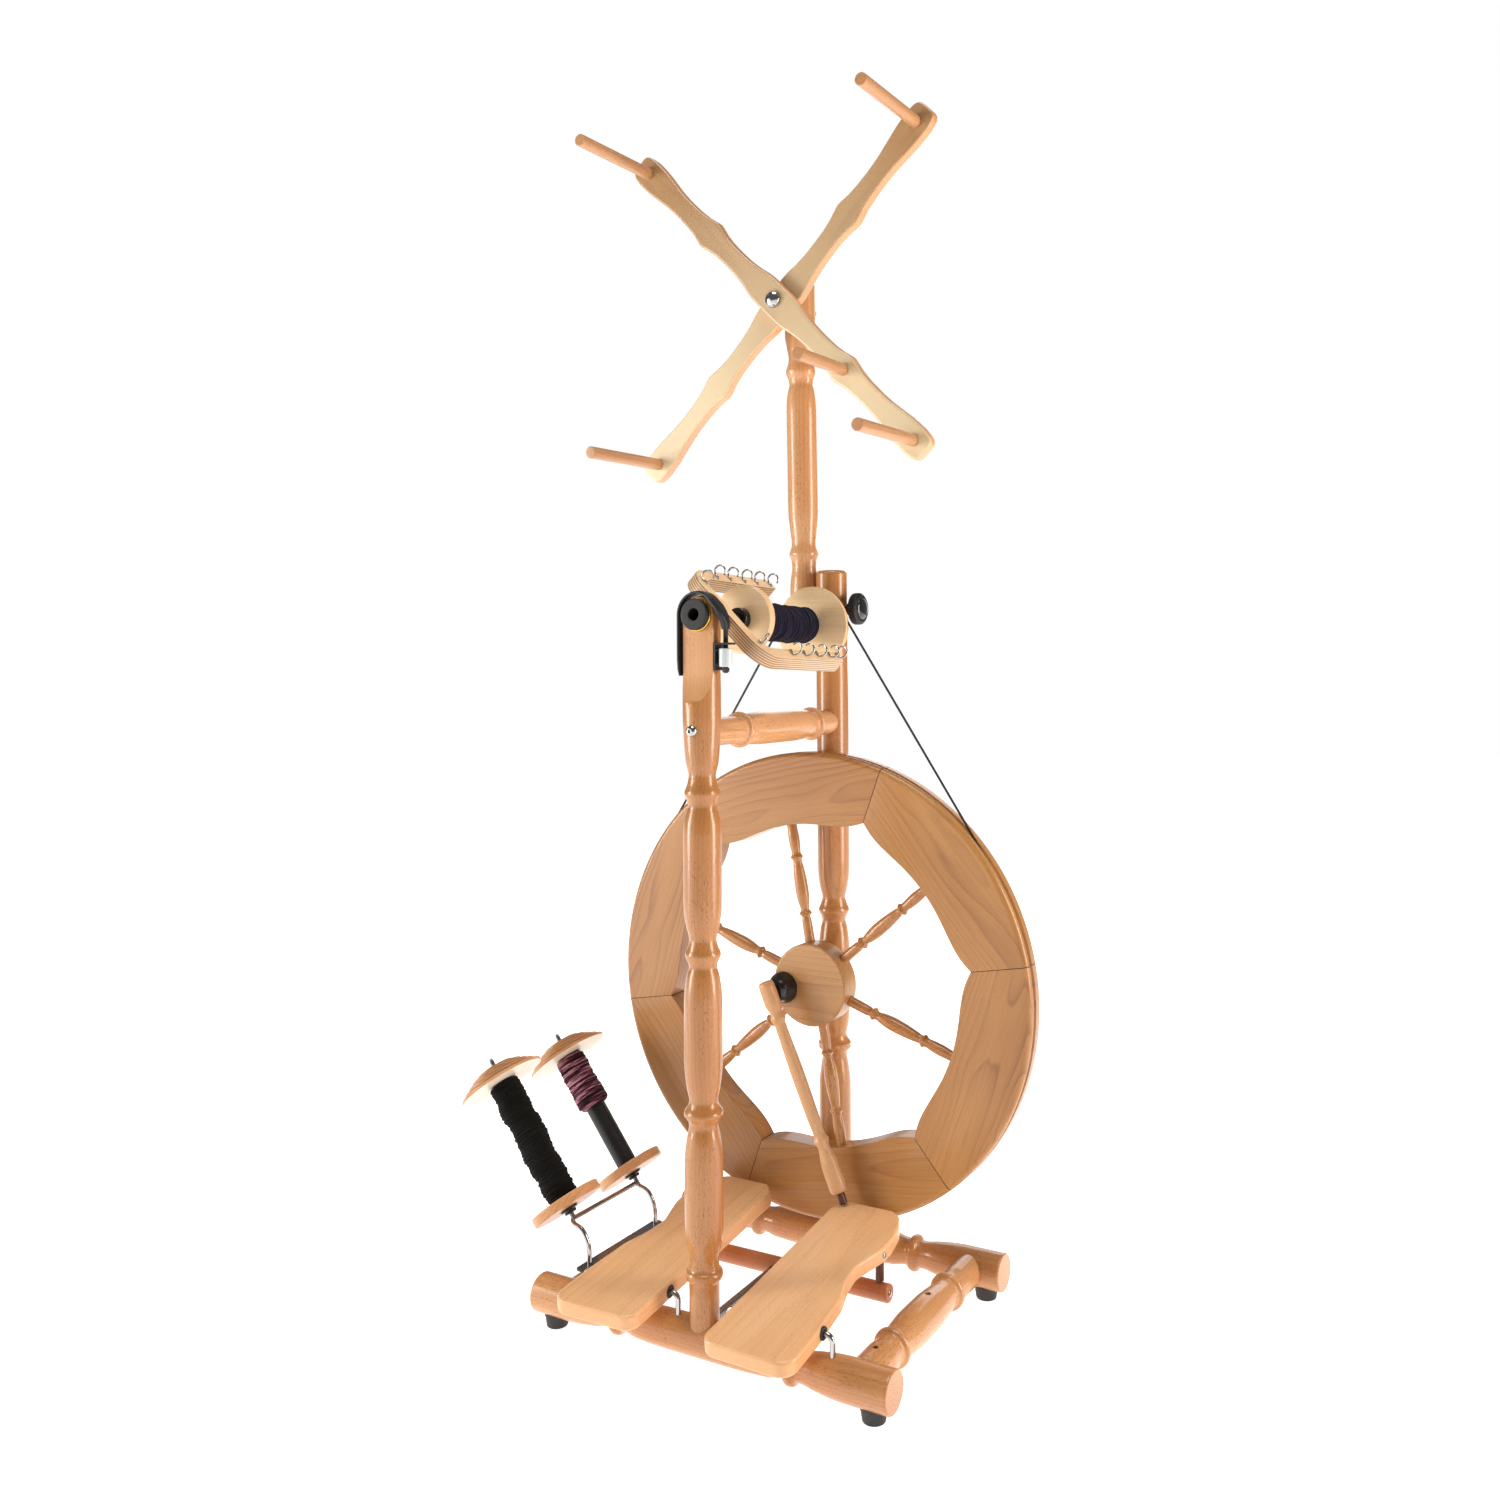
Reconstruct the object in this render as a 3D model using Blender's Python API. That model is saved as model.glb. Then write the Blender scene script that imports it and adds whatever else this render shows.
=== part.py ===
"""Castle-style treadle spinning wheel with skein winder and lazy kate.

The frame is turned beech: two base rails joined by two stretchers, a front
post that carries the orifice, a rear post that carries the drive wheel, and a
short top rail between them.  A bobbin-lead flyer is driven by a thin belt from
the six-segment drive wheel.  Two treadles see-saw on a rocker bar, and the
right one turns the wheel through a footman and a crank knuckle.

World axes: X runs along the base rails (to the spinner's right), Y runs to the
rear, Z is up.  The floor is Z = 0.  Lengths below are millimetres and are
scaled to metres when the meshes are made.
"""
import bpy
import bmesh
from math import sin, cos, tan, pi, radians, sqrt, atan2, hypot
from mathutils import Vector, Matrix

MM = 0.001
GAP = 0.35                      # play left between touching pieces

# ----------------------------------------------------------------------------
# Driving dimensions (mm)
# ----------------------------------------------------------------------------
# Where the front post's axis stands, so that the middle of the whole object's
# footprint is at X = 0, Y = 0.
ORIGIN_X = 35.9
ORIGIN_Y = -109.15

# base frame
RAIL_HALF = 198.5               # half length of the front and rear rails
RAIL_Z = 29.0                   # height of the rail axes
RAIL_R = 19.0                   # greatest rail radius
REAR_Y = 257.5                  # rear rail and rear post axis
STRETCH_X = 163.0               # stretcher axes at +/- this
FOOT_X = 178.0
FOOT_R = 12.8
FOOT_TOP = 15.0

# posts and top rail
POST_R = 18.2                   # front post
REAR_POST_R = 17.6
REAR_POST_TOP = 765.0
TOP_RAIL_Z = 595.8
TOP_RAIL_R = 16.5

# flyer and orifice
FLYER_Z = 708.0                 # flyer axis height at the orifice's front
FLYER_DROP = radians(1.7)       # the axis falls a little towards the rear
ORIFICE_R = 15.1
SHAFT_R = 5.0
FLAT_Y = -6.4                   # flat face planed on the front post's head
FLYER_TILT = radians(43.5)      # the flyer board's roll about its own axis
FLYER_T = 15.4
FLYER_FRONT = 34.0
FLYER_BACK = 189.5
FLYER_OUT = 65.2
FLYER_IN = 50.8

# bobbin on the flyer
BOB_FLANGE_Y = 70.0
BOB_FLANGE_R = 34.5
BOB_FLANGE_T = 9.0
WHORL_Y = 210.5
WHORL_R = 43.8
WHORL_GROOVE_R = 32.0
YARN_R = 19.5
ORIFICE_Y = -13.0

# drive wheel
WHEEL_Z = 314.7
WHEEL_R = 250.0
RIM_Y0 = 205.7
RIM_T = 27.0
RIM_INNER = 172.2               # inner radius at the middle of a segment
RIM_CORNER = 188.2              # inner radius at the glued joints
RIM_PHASE = radians(20.0)       # first glued joint, from +Z towards +X
GROOVE_R = 245.2
BELT_Y = 217.0
BELT_R = 1.25
HUB_R = 44.0
HUB_Y0 = 200.2
HUB_T = 26.8
SPOKE_Y = 217.0
AXLE_R = 6.0
CRANK_X = -31.4
CRANK_Z = 309.5

# treadles
HINGE_Y = -3.0
HINGE_Z = 65.1
TREADLE_T = 15.0
TREADLE_SLOPE = atan2(0.12, 1.0)
TREADLE_IN = 37.0
HOOK_R = 2.6

# rocker
ROCK_Y = 135.0
ROCK_Z = 42.5
ROCK_R = 9.0
ROCK_HALF = 127.0
LINK_X = 116.0

# footman, from the crank pin down to its flexible link on the right treadle
FOOT_PIN = Vector((CRANK_X, 170.0, CRANK_Z))
FOOT_LOW = Vector((49.0, 186.0, 96.0))

# skein winder
SK_X = -34.6
SK_LEAN = radians(1.2)          # the winder's post leans forward a little
SK_CLAMP_Z = 720.5
SK_PIVOT = 341.7                # pivot height above the clamp, along the post
SK_ARM_T = 13.0
SK_ARM_FRONT = -58.5            # front face of the front arm
SK_ARM_GAP = 1.0
SK_PEG_R = 237.0                # end pegs from the pivot
SK_PEG_MID = 121.5
SK_PEG_L = 124.0
SK_PEG_MID_L = 96.0
SK_HALF = 256.0

# lazy kate
KATE_X = -164.0
KATE_Y = (33.0, 145.0)
KATE_SPIN_Y = (35.5, 142.5)
KATE_TILT = radians(38.1)
KATE_BAR = (-187.0, 90.0)       # X and Z of the upper bar
KATE_AXIS = (-187.6, 93.0)      # X and Z where a spindle starts
KATE_WHORL_R = 45.4
KATE_FLANGE_R = 37.5

# ----------------------------------------------------------------------------
# Scene clean-up
# ----------------------------------------------------------------------------
for _o in list(bpy.data.objects):
    bpy.data.objects.remove(_o, do_unlink=True)

COL = bpy.context.scene.collection
MATS = {}


def material(name, rgb, rough=0.4, metal=0.0):
    """One Principled BSDF material for each piece."""
    m = bpy.data.materials.new(name)
    m.use_nodes = True
    b = m.node_tree.nodes.get("Principled BSDF")
    b.inputs["Base Color"].default_value = (rgb[0], rgb[1], rgb[2], 1.0)
    b.inputs["Roughness"].default_value = rough
    b.inputs["Metallic"].default_value = metal
    m.diffuse_color = (rgb[0], rgb[1], rgb[2], 1.0)
    return m


BEECH = ((0.60, 0.32, 0.16), 0.32, 0.0)
TREAD = ((0.72, 0.44, 0.23), 0.36, 0.0)
RIMWOOD = ((0.55, 0.33, 0.16), 0.38, 0.0)
PALE = ((0.72, 0.54, 0.34), 0.42, 0.0)
BLACK = ((0.015, 0.015, 0.016), 0.45, 0.0)
RUBBER = ((0.02, 0.02, 0.02), 0.7, 0.0)
STEEL = ((0.45, 0.45, 0.44), 0.3, 1.0)
CHROME = ((0.75, 0.75, 0.76), 0.12, 1.0)
BRASS = ((0.80, 0.60, 0.22), 0.25, 1.0)
WHITE = ((0.85, 0.85, 0.83), 0.4, 0.0)
CORD = ((0.07, 0.02, 0.012), 0.45, 0.0)
NAVY = ((0.015, 0.017, 0.03), 0.9, 0.0)
PLUM = ((0.12, 0.04, 0.06), 0.9, 0.0)


def empty(name, loc, rot=(0, 0, 0), parent=None):
    e = bpy.data.objects.new(name, None)
    COL.objects.link(e)
    e.parent = parent
    e.location = Vector(loc) * MM
    e.rotation_euler = rot
    return e


def smooth(obj, angle=35):
    me = obj.data
    me.shade_smooth()
    me.set_sharp_from_angle(angle=radians(angle))


def make(name, bm, look, parent, loc=(0, 0, 0), rot=(0, 0, 0), angle=35):
    """Finish a bmesh as a named object, in metres, with its own material."""
    bmesh.ops.recalc_face_normals(bm, faces=bm.faces[:])
    bmesh.ops.scale(bm, vec=(MM, MM, MM), verts=bm.verts[:])
    me = bpy.data.meshes.new(name)
    bm.to_mesh(me)
    bm.free()
    o = bpy.data.objects.new(name, me)
    COL.objects.link(o)
    o.parent = parent
    o.location = Vector(loc) * MM
    o.rotation_euler = rot
    if look is not None:
        me.materials.append(material(name + "_finish", *look))
    smooth(o, angle)
    return o


def cutter(name, bm, parent, loc=(0, 0, 0), rot=(0, 0, 0)):
    o = make(name, bm, None, parent, loc, rot)
    o.hide_render = True
    o.display_type = 'WIRE'
    return o


def boolean(obj, other, op='DIFFERENCE'):
    m = obj.modifiers.new(op.title() + "_" + other.name, 'BOOLEAN')
    m.operation = op
    m.solver = 'EXACT'
    m.object = other


# ----------------------------------------------------------------------------
# Mesh makers
# ----------------------------------------------------------------------------
AXES = {
    'Z': lambda r, h, a: (r * cos(a), r * sin(a), h),
    'X': lambda r, h, a: (h, r * cos(a), r * sin(a)),
    'Y': lambda r, h, a: (r * sin(a), h, r * cos(a)),
}


def turned(profile, segs=16, axis='Z', closed=False, phase=0.0):
    """A turned solid from (radius, height) pairs along an axis.

    An open profile is capped at both ends (radius 0 makes a point).  A closed
    profile is a ring section, which makes a piece with a bore."""
    f = AXES[axis]
    bm = bmesh.new()
    rings = []
    for r, h in profile:
        if r <= 1e-6:
            rings.append([bm.verts.new(f(0, h, 0))])
        else:
            rings.append([bm.verts.new(f(r, h, phase + 2 * pi * i / segs))
                          for i in range(segs)])
    n = len(rings)
    pairs = [(i, i + 1) for i in range(n - 1)]
    if closed:
        pairs.append((n - 1, 0))
    for a, b in pairs:
        A, B = rings[a], rings[b]
        for i in range(segs):
            j = (i + 1) % segs
            if len(A) == 1 and len(B) == 1:
                continue
            if len(A) == 1:
                bm.faces.new((A[0], B[i], B[j]))
            elif len(B) == 1:
                bm.faces.new((A[i], A[j], B[0]))
            else:
                bm.faces.new((A[i], A[j], B[j], B[i]))
    if not closed:
        for k in (0, n - 1):
            if len(rings[k]) > 1:
                bm.faces.new(rings[k])
    return bm


def prism(outline, t0, t1, plane='XY'):
    """An outline extruded between t0 and t1 along the third axis."""
    def p(a, b, t):
        return {'XY': (a, b, t), 'XZ': (a, t, b), 'YZ': (t, a, b)}[plane]
    bm = bmesh.new()
    lo = [bm.verts.new(p(a, b, t0)) for a, b in outline]
    hi = [bm.verts.new(p(a, b, t1)) for a, b in outline]
    n = len(outline)
    for i in range(n):
        j = (i + 1) % n
        bm.faces.new((lo[i], lo[j], hi[j], hi[i]))
    bm.faces.new(lo)
    bm.faces.new(hi)
    return bm


def box(x0, x1, y0, y1, z0, z1):
    return prism([(x0, y0), (x1, y0), (x1, y1), (x0, y1)], z0, z1)


def tube(points, radius, sides=8, loop=False, section=None, up=None):
    """A round wire (or a section's outline) swept along points."""
    pts = [Vector(p) for p in points]
    n = len(pts)
    bm = bmesh.new()
    tans = []
    for i in range(n):
        if loop:
            t = pts[(i + 1) % n] - pts[i - 1]
        elif i == 0:
            t = pts[1] - pts[0]
        elif i == n - 1:
            t = pts[-1] - pts[-2]
        else:
            t = (pts[i + 1] - pts[i]).normalized() + (pts[i] - pts[i - 1]).normalized()
        tans.append(t.normalized())
    ref = Vector(up) if up else Vector((0, 0, 1))
    if abs(ref.dot(tans[0])) > 0.9:
        ref = Vector((0, 1, 0))
    nrm = (ref - tans[0] * ref.dot(tans[0])).normalized()
    rings = []
    for i in range(n):
        t = tans[i]
        if up:
            nrm = (Vector(up) - t * Vector(up).dot(t)).normalized()
        else:
            nrm = (nrm - t * nrm.dot(t)).normalized()
        bi = t.cross(nrm)
        if section:
            ring = [bm.verts.new(pts[i] + nrm * a + bi * b) for a, b in section]
        else:
            ring = [bm.verts.new(pts[i] + (nrm * cos(2 * pi * k / sides)
                                           + bi * sin(2 * pi * k / sides)) * radius)
                    for k in range(sides)]
        rings.append(ring)
    m = len(rings[0])
    for i in range(n if loop else n - 1):
        A, B = rings[i], rings[(i + 1) % n]
        for k in range(m):
            l = (k + 1) % m
            bm.faces.new((A[k], A[l], B[l], B[k]))
    if not loop:
        bm.faces.new(rings[0])
        bm.faces.new(rings[-1])
    return bm


def merge(*parts):
    """Several bmeshes as one (they must not touch one another)."""
    out = bmesh.new()
    for b in parts:
        me = bpy.data.meshes.new("tmp")
        b.to_mesh(me)
        b.free()
        out.from_mesh(me)
        bpy.data.meshes.remove(me)
    return out


def arc(cx, cy, r, a0, a1, n):
    return [(cx + r * cos(radians(a0 + (a1 - a0) * i / n)),
             cy + r * sin(radians(a0 + (a1 - a0) * i / n))) for i in range(n + 1)]


def rounded(points, radii, n=3):
    """An outline whose corners are rounded with the given radii."""
    out = []
    m = len(points)
    for i, (p, r) in enumerate(zip(points, radii)):
        p = Vector(p)
        a = Vector(points[i - 1]) - p
        b = Vector(points[(i + 1) % m]) - p
        if r <= 0:
            out.append(tuple(p))
            continue
        la, lb = a.length, b.length
        a.normalize()
        b.normalize()
        ang = a.angle(b)
        d = min(r / tan(ang / 2), la * 0.49, lb * 0.49)
        rr = d * tan(ang / 2)
        c = p + (a + b).normalized() * (rr / sin(ang / 2))
        s, e = p + a * d, p + b * d
        a0 = atan2(s.y - c.y, s.x - c.x)
        a1 = atan2(e.y - c.y, e.x - c.x)
        da = (a1 - a0 + pi) % (2 * pi) - pi
        for k in range(n + 1):
            t = a0 + da * k / n
            out.append((c.x + rr * cos(t), c.y + rr * sin(t)))
    return out


ROOT = empty("frame_origin", (ORIGIN_X, ORIGIN_Y, 0))

# ----------------------------------------------------------------------------
# Base rails and stretchers
# ----------------------------------------------------------------------------


def bead(at, r, neck, w=4.6):
    """The five stations of a turned bead with a neck on both sides."""
    return [(neck, at - 1.9 * w), (0.5 * (r + neck), at - w), (r, at),
            (0.5 * (r + neck), at + w), (neck, at + 1.9 * w)]


def mirrored(half):
    """A profile symmetrical about height 0 from its upper half."""
    return [(r, -h) for r, h in reversed(half)] + half


rail_half = [(17.6, 40.0), (16.4, 72.0)]
rail_half += bead(97.5, 18.6, 13.8)
rail_half += [(16.4, 124.0), (18.4, 142.0), (RAIL_R, 158.0), (RAIL_R, RAIL_HALF - 2.0),
              (RAIL_R - 2.0, RAIL_HALF)]
for nm, y in (("front_rail", 0.0), ("rear_rail", REAR_Y)):
    make(nm, turned(mirrored(rail_half), 12, 'X'), BEECH, ROOT, (0, y, RAIL_Z))


def rail_cutter(name, y, r, half=215.0):
    return cutter(name, turned([(r, -half), (r, half)], 28, 'X'), ROOT, (0, y, RAIL_Z))


CUT_F = rail_cutter("cut_front_rail", 0.0, RAIL_R + GAP + 0.15)
CUT_R = rail_cutter("cut_rear_rail", REAR_Y, RAIL_R + GAP + 0.15)

stretch = [(16.2, 8.0), (16.4, 42.0)] + bead(67.0, 18.8, 14.9, 4.0) \
    + [(16.6, 88.0), (18.0, 112.0), (17.8, 142.0), (16.2, 166.0)] \
    + bead(192.0, 18.6, 14.6, 4.0) + [(15.9, 215.0), (15.9, 250.0)]
for nm, x in (("left_stretcher", -STRETCH_X), ("right_stretcher", STRETCH_X)):
    o = make(nm, turned(stretch, 12, 'Y'), BEECH, ROOT, (x, 0, RAIL_Z))
    boolean(o, CUT_F)
    boolean(o, CUT_R)

for nm, x, y, c in (("foot_front_left", -FOOT_X, 0, CUT_F), ("foot_front_right", FOOT_X, 0, CUT_F),
                    ("foot_rear_left", -FOOT_X, REAR_Y, CUT_R), ("foot_rear_right", FOOT_X, REAR_Y, CUT_R)):
    o = make(nm, turned([(FOOT_R - 2.6, 0), (FOOT_R - 1.0, 1.6), (FOOT_R, FOOT_TOP)], 12, 'Z'),
             RUBBER, ROOT, (x, y, 0))
    boolean(o, c)

# ----------------------------------------------------------------------------
# Posts and top rail
# ----------------------------------------------------------------------------
LOWER = [(14.2, 29.0), (14.2, 80.0), (15.8, 83.0), (17.6, 88.8), (15.6, 95.0), (13.5, 104.0),
         (15.2, 112.0), (17.7, 124.0)]


def shaft_mid(r):
    """The turned run between the lower neck and the upper shoulder."""
    return [(r, 150.0), (r, 196.0), (r - 2.4, 217.0), (13.7, 227.5), (15.8, 232.6),
            (18.4 * r / 18.2, 238.0), (15.8, 243.4), (13.4, 250.0), (15.6, 262.0),
            (r - 0.6, 277.0), (r, 303.0), (r, 342.0), (r - 2.6, 367.0), (13.2, 376.0),
            (15.2, 381.4), (17.0, 387.0), (15.2, 392.6), (13.0, 401.0), (15.4, 412.0),
            (r - 0.4, 426.0)]


front_profile = LOWER + shaft_mid(POST_R) + [
    (POST_R, 440.0), (POST_R, 500.0), (17.0, 514.0), (13.6, 526.0), (15.2, 533.0), (17.0, 538.6),
    (15.2, 544.0), (12.9, 555.0), (15.6, 568.0), (17.4, 590.0), (POST_R, 612.0), (POST_R, FLYER_Z)]
front_profile += [(POST_R * cos(radians(a)), FLYER_Z + POST_R * sin(radians(a))) for a in (25, 50, 72)]
front_profile += [(0.0, FLYER_Z + POST_R)]
front_post = make("front_post", turned(front_profile, 12, 'Z'), BEECH, ROOT)
boolean(front_post, CUT_F)
# flat face for the maker's plate, run out with a wide curve at its lower end
run = [(FLAT_Y, 656.0)] + [(FLAT_Y - (50.0 - sqrt(50.0 ** 2 - h * h)), 656.0 - h)
                           for h in (8, 16, 24, 32, 38)]
flat = [(FLAT_Y, 740.0)] + run + [(-40.0, run[-1][1]), (-40.0, 740.0)]
boolean(front_post, cutter("cut_flat", prism(flat, -30, 30, 'YZ'), ROOT))
DROP_Z = FLYER_Z + ORIFICE_Y * tan(FLYER_DROP)
ORI = empty("orifice_axis", (0, 0, DROP_Z), (-FLYER_DROP, 0, 0), parent=ROOT)
boolean(front_post, cutter("cut_orifice", turned([(13.2, -40), (13.2, 40)], 20, 'Y'), ORI))

rear_profile = LOWER + shaft_mid(REAR_POST_R) + [
    (REAR_POST_R, 452.0), (REAR_POST_R, REAR_POST_TOP - 5.0), (REAR_POST_R - 1.6, REAR_POST_TOP - 1.4),
    (REAR_POST_R - 4.5, REAR_POST_TOP)]
rear_post = make("rear_post", turned(rear_profile, 12, 'Z'), BEECH, ROOT, (0, REAR_Y, 0))
boolean(rear_post, CUT_R)
for nm, ax, r, z in (("cut_axle", 'Y', AXLE_R + 0.5, WHEEL_Z), ("cut_shaft", 'Y', SHAFT_R + 0.9, FLYER_Z - 0.03 * REAR_Y),
                     ("cut_clamp", 'X', 3.6, SK_CLAMP_Z + 0.8)):
    h0 = -60 if nm != "cut_shaft" else -40
    h1 = 60 if nm != "cut_shaft" else 9
    boolean(rear_post, cutter(nm, turned([(r, h0), (r, h1)], 12, ax), ROOT, (0, REAR_Y, z)))

# top rail between the posts, its ends scribed to the round posts
top_profile = [(13.4, 8.0), (13.6, 46.0)] + bead(64.5, 17.8, 13.8, 3.4) \
    + [(15.2, 78.0), (TOP_RAIL_R, 108.0), (TOP_RAIL_R, 164.0), (15.2, 194.0)] \
    + bead(208.5, 17.8, 13.8, 3.4) + [(13.6, 227.0), (13.4, 250.0)]
top_rail = make("top_rail", turned(top_profile, 12, 'Y'), BEECH, ROOT, (0, 0, TOP_RAIL_Z))
boolean(top_rail, cutter("cut_post_front", turned([(POST_R + GAP, 500), (POST_R + GAP, 690)], 32, 'Z'), ROOT))
boolean(top_rail, cutter("cut_post_rear", turned([(REAR_POST_R + GAP + 0.15, 500), (REAR_POST_R + GAP + 0.15, 690)], 32, 'Z'),
                         ROOT, (0, REAR_Y, 0)))

# spare pin holes for the lazy kate, in the right stretcher
for i, y in enumerate(KATE_Y):
    boolean(bpy.data.objects["right_stretcher"], cutter("cut_pin_%d" % (i + 1), turned([(2.7, 8.0), (2.7, 30.0)], 16, 'Z'),
                                                        ROOT, (STRETCH_X, y, RAIL_Z)))

# dome-head socket screw in the front post, which holds the top rail
make("post_screw", turned([(5.4, 0), (5.2, -1.2), (3.4, -3.0), (1.9, -3.4), (1.7, -1.4), (0, -1.2)], 12, 'Y'),
     STEEL, ROOT, (0, -(17.7 + 0.6), TOP_RAIL_Z + 1.0))

# ----------------------------------------------------------------------------
# Orifice bearing, flyer shaft, flyer board and bobbin
# ----------------------------------------------------------------------------
make("orifice_bearing", turned([(9.9, -9.4), (16.0, -9.4), (16.0, FLAT_Y - 0.95), (12.6, FLAT_Y - 0.95),
                                (12.6, 17.0), (9.9, 17.0)], 20, 'Y', closed=True), BRASS, ORI)

FLY = empty("flyer_axis", (0, 0, DROP_Z), (-FLYER_DROP, 0, 0), parent=ROOT)
make("flyer_shaft", turned([(0, 16.0), (5.0, 16.0), (5.0, -13.2), (5.6, -13.8), (13.6, -13.8), (ORIFICE_R, -12.4),
                            (ORIFICE_R, -9.8), (9.4, -9.8), (9.4, 25.0), (SHAFT_R, 29.0),
                            (SHAFT_R, 262.0), (4.0, 263.0), (0, 263.0)], 16, 'Y'), BLACK, FLY)


def eyelet(x, y, side, z0, turn=0.0):
    """Open cup hook: a stem out of the board, then most of a circle that
    stands square to the arm, so that yarn runs through it along the arm."""
    r, c = 5.8, z0 + 6.9
    ct, st = cos(turn), sin(turn)
    pts = [(x - side * 4.0 * ct, y - side * 4.0 * st, z0 - 3.0), (x - side * 4.0 * ct, y - side * 4.0 * st, z0 + 1.2)]
    for k in range(7):
        a = radians(-40 + 50 * k) * side
        e, q = r * sin(a), 0.5 * k
        pts.append((x + e * ct - q * st, y + e * st + q * ct, c - r * cos(a)))
    return tube(pts, 1.0, 4)


U = [(-FLYER_OUT, FLYER_FRONT), (FLYER_OUT, FLYER_FRONT), (FLYER_OUT, FLYER_BACK), (FLYER_IN + 1, FLYER_BACK),
     (FLYER_IN, FLYER_BACK - 6), (FLYER_IN, FLYER_FRONT + 14), (-FLYER_IN, FLYER_FRONT + 14),
     (-FLYER_IN, FLYER_BACK - 6), (-FLYER_IN - 1, FLYER_BACK), (-FLYER_OUT, FLYER_BACK)]
RU = [28, 28, 2, 1, 1, 15, 15, 1, 1, 2]
outline = rounded(U, RU, 4)
flyer_frame = make("flyer_frame", prism(outline, -FLYER_T / 2, FLYER_T / 2), PALE, FLY, rot=(0, FLYER_TILT, 0))
boolean(flyer_frame, cutter("cut_flyer_bore", turned([(SHAFT_R + 0.75, 20), (SHAFT_R + 0.75, 64)], 12, 'Y'), FLY))
hooks = []
EYE_LEFT = [77.0, 101.5, 128.5, 153.5, 180.5]
EYE_RIGHT = [89.6, 114.5, 140.7, 166.4, 184.5]
for side, row in ((-1, EYE_LEFT), (1, EYE_RIGHT)):
    hooks.append(eyelet(side * 45.0, 43.5, side, FLYER_T / 2, radians(-45.0 * side)))
    for y in row:
        hooks.append(eyelet(side * 57.8, y, side, FLYER_T / 2))
boolean(flyer_frame, cutter("hooks_flyer", merge(*hooks), FLY, rot=(0, FLYER_TILT, 0)), 'UNION')

BOB = empty("bobbin_axis", (0, 0, DROP_Z), (-FLYER_DROP, 0, 0), parent=ROOT)
BORE = SHAFT_R + 0.6
make("bobbin_core", turned([(BORE, 61.0), (10.4, 61.0), (11.2, 62.0), (11.2, 69.6), (8.0, 69.6), (8.0, 234.0),
                            (BORE, 234.0)], 14, 'Y', closed=True), BLACK, BOB)
y0, y1 = BOB_FLANGE_Y, BOB_FLANGE_Y + BOB_FLANGE_T
make("bobbin_flange", turned([(8.4, y0), (BOB_FLANGE_R - 3.2, y0), (BOB_FLANGE_R, y0 + 3.0), (BOB_FLANGE_R, y1 - 1.2),
                              (BOB_FLANGE_R - 1.0, y1), (8.4, y1)], 20, 'Y', closed=True), PALE, BOB)
make("bobbin_whorl", turned([(8.4, WHORL_Y), (WHORL_R - 1.2, WHORL_Y), (WHORL_R, WHORL_Y + 1.2),
                             (WHORL_R - 0.6, WHORL_Y + 3.6), (WHORL_GROOVE_R, BELT_Y - 1.2),
                             (WHORL_GROOVE_R, BELT_Y + 1.2), (WHORL_R - 2.6, WHORL_Y + 10.0),
                             (WHORL_R - 3.6, WHORL_Y + 12.0), (8.4, WHORL_Y + 12.0)], 20, 'Y', closed=True), PALE, BOB)
yarn = [(8.4, y1 + 0.4), (YARN_R - 3.0, y1 + 0.4)]
for k in range(9):
    yarn.append((YARN_R - 0.6 * (k % 2), y1 + 6 + (WHORL_Y - y1 - 12) * k / 8.0))
yarn += [(YARN_R - 2.0, WHORL_Y - 0.4), (8.4, WHORL_Y - 0.4)]
make("bobbin_yarn", turned(yarn, 14, 'Y', closed=True), NAVY, BOB)

# ----------------------------------------------------------------------------
# Brake on the orifice
# ----------------------------------------------------------------------------
BR = POST_R + 2.6
SY = -3.6
strap_path = [(-BR - 0.1, SY, 650.0), (-BR - 0.1, SY, 680.0), (-BR - 0.1, SY, 700.0)]
strap_path += [(BR * cos(radians(a)), SY, FLYER_Z + BR * sin(radians(a))) for a in (175, 155, 135, 115, 90, 65, 45, 28)]
strap_path += [(23.6, SY * 0.6, 707.0), (26.8, SY * 0.2, 699.0)]
sec = [(-6.5, -1.6), (6.5, -1.6), (6.5, 1.6), (-6.5, 1.6)]
make("brake_strap", tube(strap_path, 0, section=sec, up=(0, 1, 0)), BLACK, ROOT)
bracket = make("brake_bracket", prism([(18.6, 655.0), (20.2, 655.0), (20.2, 679.0), (34.0, 679.0), (34.0, 681.0),
                                       (18.6, 681.0)], -7, 7, 'XZ'), BLACK, ROOT)
boolean(bracket, cutter("cut_bracket", turned([(2.9, 670.0), (2.9, 690.0)], 10, 'Z'), ROOT, (27.4, 0, 0)))
KN = empty("brake_axis", (27.4, 0, 658.0), parent=ROOT)
make("brake_knob", turned([(2.2, -5.0), (2.2, 0), (5.6, 0.2), (6.5, 1.2), (6.5, 16.8), (5.6, 17.8), (2.2, 18.0),
                           (2.2, 37.5)], 12, 'Z'), WHITE, KN)

# ----------------------------------------------------------------------------
# Drive wheel: six glued rim segments, six turned spokes, hub and crank knuckle
# ----------------------------------------------------------------------------
WH = empty("wheel_axis", (0, 0, WHEEL_Z), parent=ROOT)


def rim_inner(t):
    """Inner radius of a rim segment at t, from -1 to 1 across its arc."""
    a = abs(t)
    if a < 0.42:
        return RIM_INNER
    s = (a - 0.42) / 0.58
    return RIM_INNER + (RIM_CORNER - RIM_INNER) * (s * s * (1.6 - 0.6 * s))


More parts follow.
